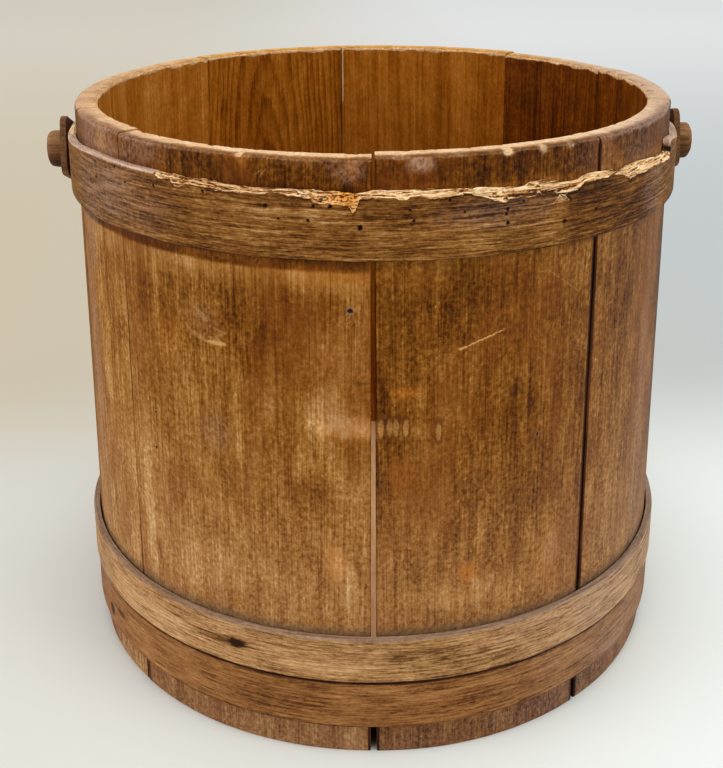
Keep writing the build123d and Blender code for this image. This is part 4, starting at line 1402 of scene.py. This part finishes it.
def torn_wood(shader, colour, grain, fine):
    """The colour with the fresh wood of the break, its painted shadows, the holes with painted shade in them
    and the painted shade of a square break over it.
    """
    broken = shader.noise(grain, (1.2, 0.06, 1.2), 4.0, 0.6)
    gaps = shader.noise(grain, (1.0, 0.03, 1.0), 3.0, 0.62)
    crumbs = shader.noise(grain, (1.0, 0.8, 1.0), 3.0, 0.7)
    weathered = shader.noise(grain, (0.5, 0.14, 0.5), 3.0, 0.6)
    glow = shader.look("glow")
    fresh_tone = 0.58 + broken.swing(3.0) + fine.swing(0.7) + shader.look("tone")
    fresh_tone = fresh_tone + crumbs.swing(0.8 + glow * 2.2) - shader.smooth(gaps, 0.54, 0.62) * 0.45
    fresh = shader.mix(glow * 0.9, shader.palette(fresh_tone, fresh_colours), srgb(*tear_gold), "MULTIPLY")
    share = shader.smooth(shader.look("fresh") + weathered.swing(1.3), 0.54, 0.68)
    colour = shader.mix(share, colour, fresh)
    place = shader.look("wall", "Vector")
    flat = shader.stretched(place, (1.0, 1.0, 0.0))
    wobbly = uneven(shader, flat)
    # Painted shade in the tear's gaps and under the flake, and the flake's own colour
    for table, tint in (
        (tear_shadows, tear_shadow_colour), (flake, flake_colour), (flake_shadow, flake_shadow_colour),
    ):
        lines = strokes_on_wall(table, top_stand_off - tear_setback)
        colour = shader.overlaid(colour, shader.fade(shader.strokes(wobbly, lines), 0.5, 1.2, 0.9), tint)
    holes = shader.spots(wobbly, spots_on_wall(worm_holes, top_stand_off))
    face = shader.fade(shader.part(place, 2), 2.4, 4.0)
    # Painted shade inside the wormholes
    colour = shader.overlaid(colour, shader.fade(holes, 0.7, 1.15, 0.95) * face, hoop_hole_shade_colour)
    # Painted shade where the square break shows
    lost = shader.strokes(flat, strokes_on_wall(square_break_shade, top_stand_off))
    return shader.overlaid(colour, shader.fade(lost, 0.7, 1.05, 0.95), square_break_shade_colour)


def plain_wood(name, colours, weights, streaks=0.0):
    """Wood with no marks of its own, paler where it is worn."""
    shader, _, tone, figure = wood(name, weights, streaks, 0.55)
    wear = shader.smooth(shader.look("worn") + figure.mottle.swing(0.8), 0.5, 0.9, 0.0, 0.5)
    colour = shader.mix(wear, shader.palette(tone, colours), shader.palette(tone + 0.25, colours))
    return finish_wood(shader, tone, colour, figure, (0.45, 0.7), 0.5)


def small_wood(name, colours):
    """Wood for the small frame parts, whose grain runs along X."""
    shader = Shader(name)
    place = shader.node("ShaderNodeTexCoord", {}, "Object")
    fibres = shader.noise(place, (60.0, 1600.0, 1600.0), 4.0, 0.6)
    blotch = shader.noise(place, (120.0, 200.0, 200.0))
    colour = shader.palette(0.5 + fibres.swing(1.2) + blotch.swing(0.6), colours)
    return shader.finish(colour, shader.smooth(fibres, 0.2, 0.8, 0.5, 0.75), fibres, 0.5, 0.0003)


def iron(name, colours):
    """Dull forged iron with a brown bloom of rust."""
    shader = Shader(name)
    place = shader.node("ShaderNodeTexCoord", {}, "Object")
    bloom = shader.noise(place, (900.0, 900.0, 900.0), 5.0, 0.65)
    fine = shader.noise(place, (4000.0, 4000.0, 4000.0), 3.0, 0.6)
    rust = shader.smooth(bloom, 0.4, 0.62)
    colour = shader.palette(rust * 0.8 + fine * 0.2, colours)
    shader.surface.inputs["Metallic"].default_value = 0.35
    return shader.finish(colour, shader.smooth(rust, 0.0, 1.0, 0.5, 0.85), bloom + fine * 0.5, 0.5, 0.0002)


# Stage, in metres
floor_half = 9.0
floor_shown_share = 0.5
floor_shine = 0.1
# How far from the middle the bucket's painted shadow on the floor ends, and where the floor turns into the
# backdrop
contact_shadow_edge, backdrop_start = (0.156, 0.164), (4.2, 8.5)
# Softboxes: name, place, what it is aimed at, size, watts and colour
softboxes = (
    ("right_window", (2.5, -1.7, 1.5), (0, 0, 0.15), (1.8, 1.8), 25, (255, 252, 246)),
    ("left_window", (-2.8, -0.9, 1.3), (0, 0, 0.15), (1.8, 1.8), 31, (250, 248, 255)),
    ("ceiling", (0.1, -0.3, 3.0), (0, 0, 0.2), (2.0, 2.0), 42, (255, 253, 250)),
)
direct_rays = ("Is Camera Ray", "Is Glossy Ray", "Is Transmission Ray")


def seen_directly(tree):
    """A socket that is 1 for the rays that show a surface as it is, and 0 for the rest."""
    path = tree.nodes.new("ShaderNodeLightPath")
    total = path.outputs[direct_rays[0]]
    for name in direct_rays[1:]:
        larger = tree.nodes.new("ShaderNodeMath")
        larger.operation = "MAXIMUM"
        tree.links.new(total, larger.inputs[0])
        tree.links.new(path.outputs[name], larger.inputs[1])
        total = larger.outputs[0]
    return total


def floor():
    """A pale floor, warmer on the left, and painted paler and cooler on the near right, which lightens the
    bucket's shadow there. Part of its colour is shown as it is, so that its shadow is light.
    """
    shader = Shader("floor_paper")
    place = shader.node("ShaderNodeTexCoord", {}, "Object")
    cloud = shader.noise(place, (0.9, 0.9, 0.9))
    across, back = shader.part(place, 0), shader.part(place, 1)
    side = shader.smooth(across + cloud.swing(0.3), -0.5, 0.5)
    near, behind, far = (
        shader.mix(side, srgb(*left), srgb(*right))
        for left, right in (floor_near_colours, floor_back_colours, floor_far_colours)
    )
    behind = shader.mix(shader.smooth(back, 0.5, 2.6), behind, far)
    colour = shader.mix(shader.smooth(back, 0.05, 0.32), near, behind)
    away = shader.vector("LENGTH", place, output="Value")
    colour = shader.overlaid(colour, shader.smooth(away, *backdrop_start), backdrop_colour)
    # The bucket's painted shadow on the floor
    colour = shader.overlaid(colour, shader.fade(away, *contact_shadow_edge, 0.92), floor_shadow_colour)
    material = shader.finish(colour, 0.8, cloud, 0.02)
    tree, surface = shader.tree, shader.surface
    surface.inputs["Specular IOR Level"].default_value = floor_shine
    shown = tree.nodes.new("ShaderNodeEmission")
    shader.feed(shown.inputs["Color"], colour)
    direct = Wire(shader, seen_directly(tree)) * shader.smooth(away, 0.155, 0.3)
    mixed = tree.nodes.new("ShaderNodeMixShader")
    shader.feed(mixed.inputs[0], direct * floor_shown_share)
    tree.links.new(surface.outputs[0], mixed.inputs[1])
    tree.links.new(shown.outputs[0], mixed.inputs[2])
    tree.links.new(mixed.outputs[0], tree.nodes["Material Output"].inputs["Surface"])
    corners = [(x * floor_half, y * floor_half, 0) for x, y in ((-1, -1), (1, -1), (1, 1), (-1, 1))]
    data = bpy.data.meshes.new("floor")
    data.from_pydata(corners, [], [(0, 1, 2, 3)])
    data.materials.append(material)
    piece = add_object("floor", data)


def world():
    """Even studio light, and a pale backdrop where a ray runs past the floor."""
    made = bpy.data.worlds.new("studio")
    bpy.context.scene.world = made
    made.use_nodes = True
    tree = made.node_tree
    tree.nodes.clear()
    shown, lit = (tree.nodes.new("ShaderNodeBackground") for _ in range(2))
    mixed, out = tree.nodes.new("ShaderNodeMixShader"), tree.nodes.new("ShaderNodeOutputWorld")
    shown.inputs[0].default_value = srgb(*backdrop_colour)
    lit.inputs[0].default_value = srgb(*studio_light_colour)
    lit.inputs[1].default_value = 0.7
    tree.links.new(seen_directly(tree), mixed.inputs[0])
    tree.links.new(lit.outputs[0], mixed.inputs[1])
    tree.links.new(shown.outputs[0], mixed.inputs[2])
    tree.links.new(mixed.outputs[0], out.inputs[0])


def softbox(name, place, aim, size, watts, colour):
    data = bpy.data.lights.new(name, "AREA")
    data.shape = "RECTANGLE"
    data.size, data.size_y = size
    data.energy = watts
    data.color = srgb(*colour)[:3]
    piece = add_object(name, data)
    piece.location = place
    piece.rotation_mode = "QUATERNION"
    piece.rotation_quaternion = (piece.location - Vector(aim)).to_track_quat("Z", "Y")


def camera():
    """The photograph's camera."""
    data = bpy.data.cameras.new("camera")
    data.sensor_width = sensor_long_side
    data.lens = focal_px * sensor_long_side / photo_height
    data.clip_start, data.clip_end = 0.01, 60
    columns = [camera_right, camera_up, -camera_forward, camera_place * MM]
    piece = add_object("camera", data)
    piece.matrix_world = Matrix(np.array(columns).T.tolist() + [[0, 0, 0, 1]])
    bpy.context.scene.camera = piece


pine = stave_wood()
for number, name in enumerate(stave_names, 1):
    place_piece(stave(number), "bucket", "stave", pine, name)

hoop_places = {
    "top_hoop": ("top_hoop", top_hoop_play, top_hoop_thickness),
    "upper_hoop": ("upper_bottom_hoop", upper_hoop_play, upper_hoop_thickness),
    "lower_hoop": ("lower_bottom_hoop", lower_hoop_play, lower_hoop_thickness),
}
hoop_looks = {
    "top_hoop": (hoop_colours, top_edge_colours, 1.0),
    "upper_hoop": (upper_hoop_colours, hoop_edge_colours, 0.72),
    "lower_hoop": (lower_hoop_colours, hoop_edge_colours, 0.66),
}
for seed, (kind, (name, play, thickness)) in enumerate(hoop_places.items(), 1):
    torn, covered = kind == "top_hoop", kind == "lower_hoop"
    material = hoop_wood(f"{kind}_wood", *hoop_looks[kind], torn)
    piece = hoop(name, f"{kind}_tacks", play, thickness, seed, torn, covered)
    place_piece(piece, "bucket", name, material, name)

board_wood = plain_wood("board_wood", board_colours, board_weights)
for number, pith in enumerate(board_piths, 1):
    place_piece(bottom_board(number, pith), "bucket", "bottom", board_wood, f"bottom_board_{number}")
bail_look = plain_wood("bail_look", bail_colours, bail_weights, 0.25)
place_piece(bail(), "bail", "bail", bail_look, "bail")
peg_wood = plain_wood("peg_wood", peg_colours, peg_weights, 0.15)
for side_name, side in (("right", 1), ("left", -1)):
    place_piece(peg(side_name, side), "bucket", "peg", peg_wood, f"{side_name}_peg")

tack_iron = iron("tack_iron", iron_colours)
slip_wood = small_wood("slip_wood", slip_colours)
for name, material in (
    ("top_hoop_tacks", tack_iron), ("upper_hoop_tacks", tack_iron), ("lower_hoop_tacks", tack_iron),
    ("bottom_dowels", slip_wood), ("left_peg_wedge", slip_wood), ("right_peg_wedge", slip_wood),
):
    frame["nodes"][name].data.materials.clear()
    frame["nodes"][name].data.materials.append(material)

floor()
world()
for box in softboxes:
    softbox(*box)
camera()
bpy.context.scene.view_settings.view_transform = "Standard"
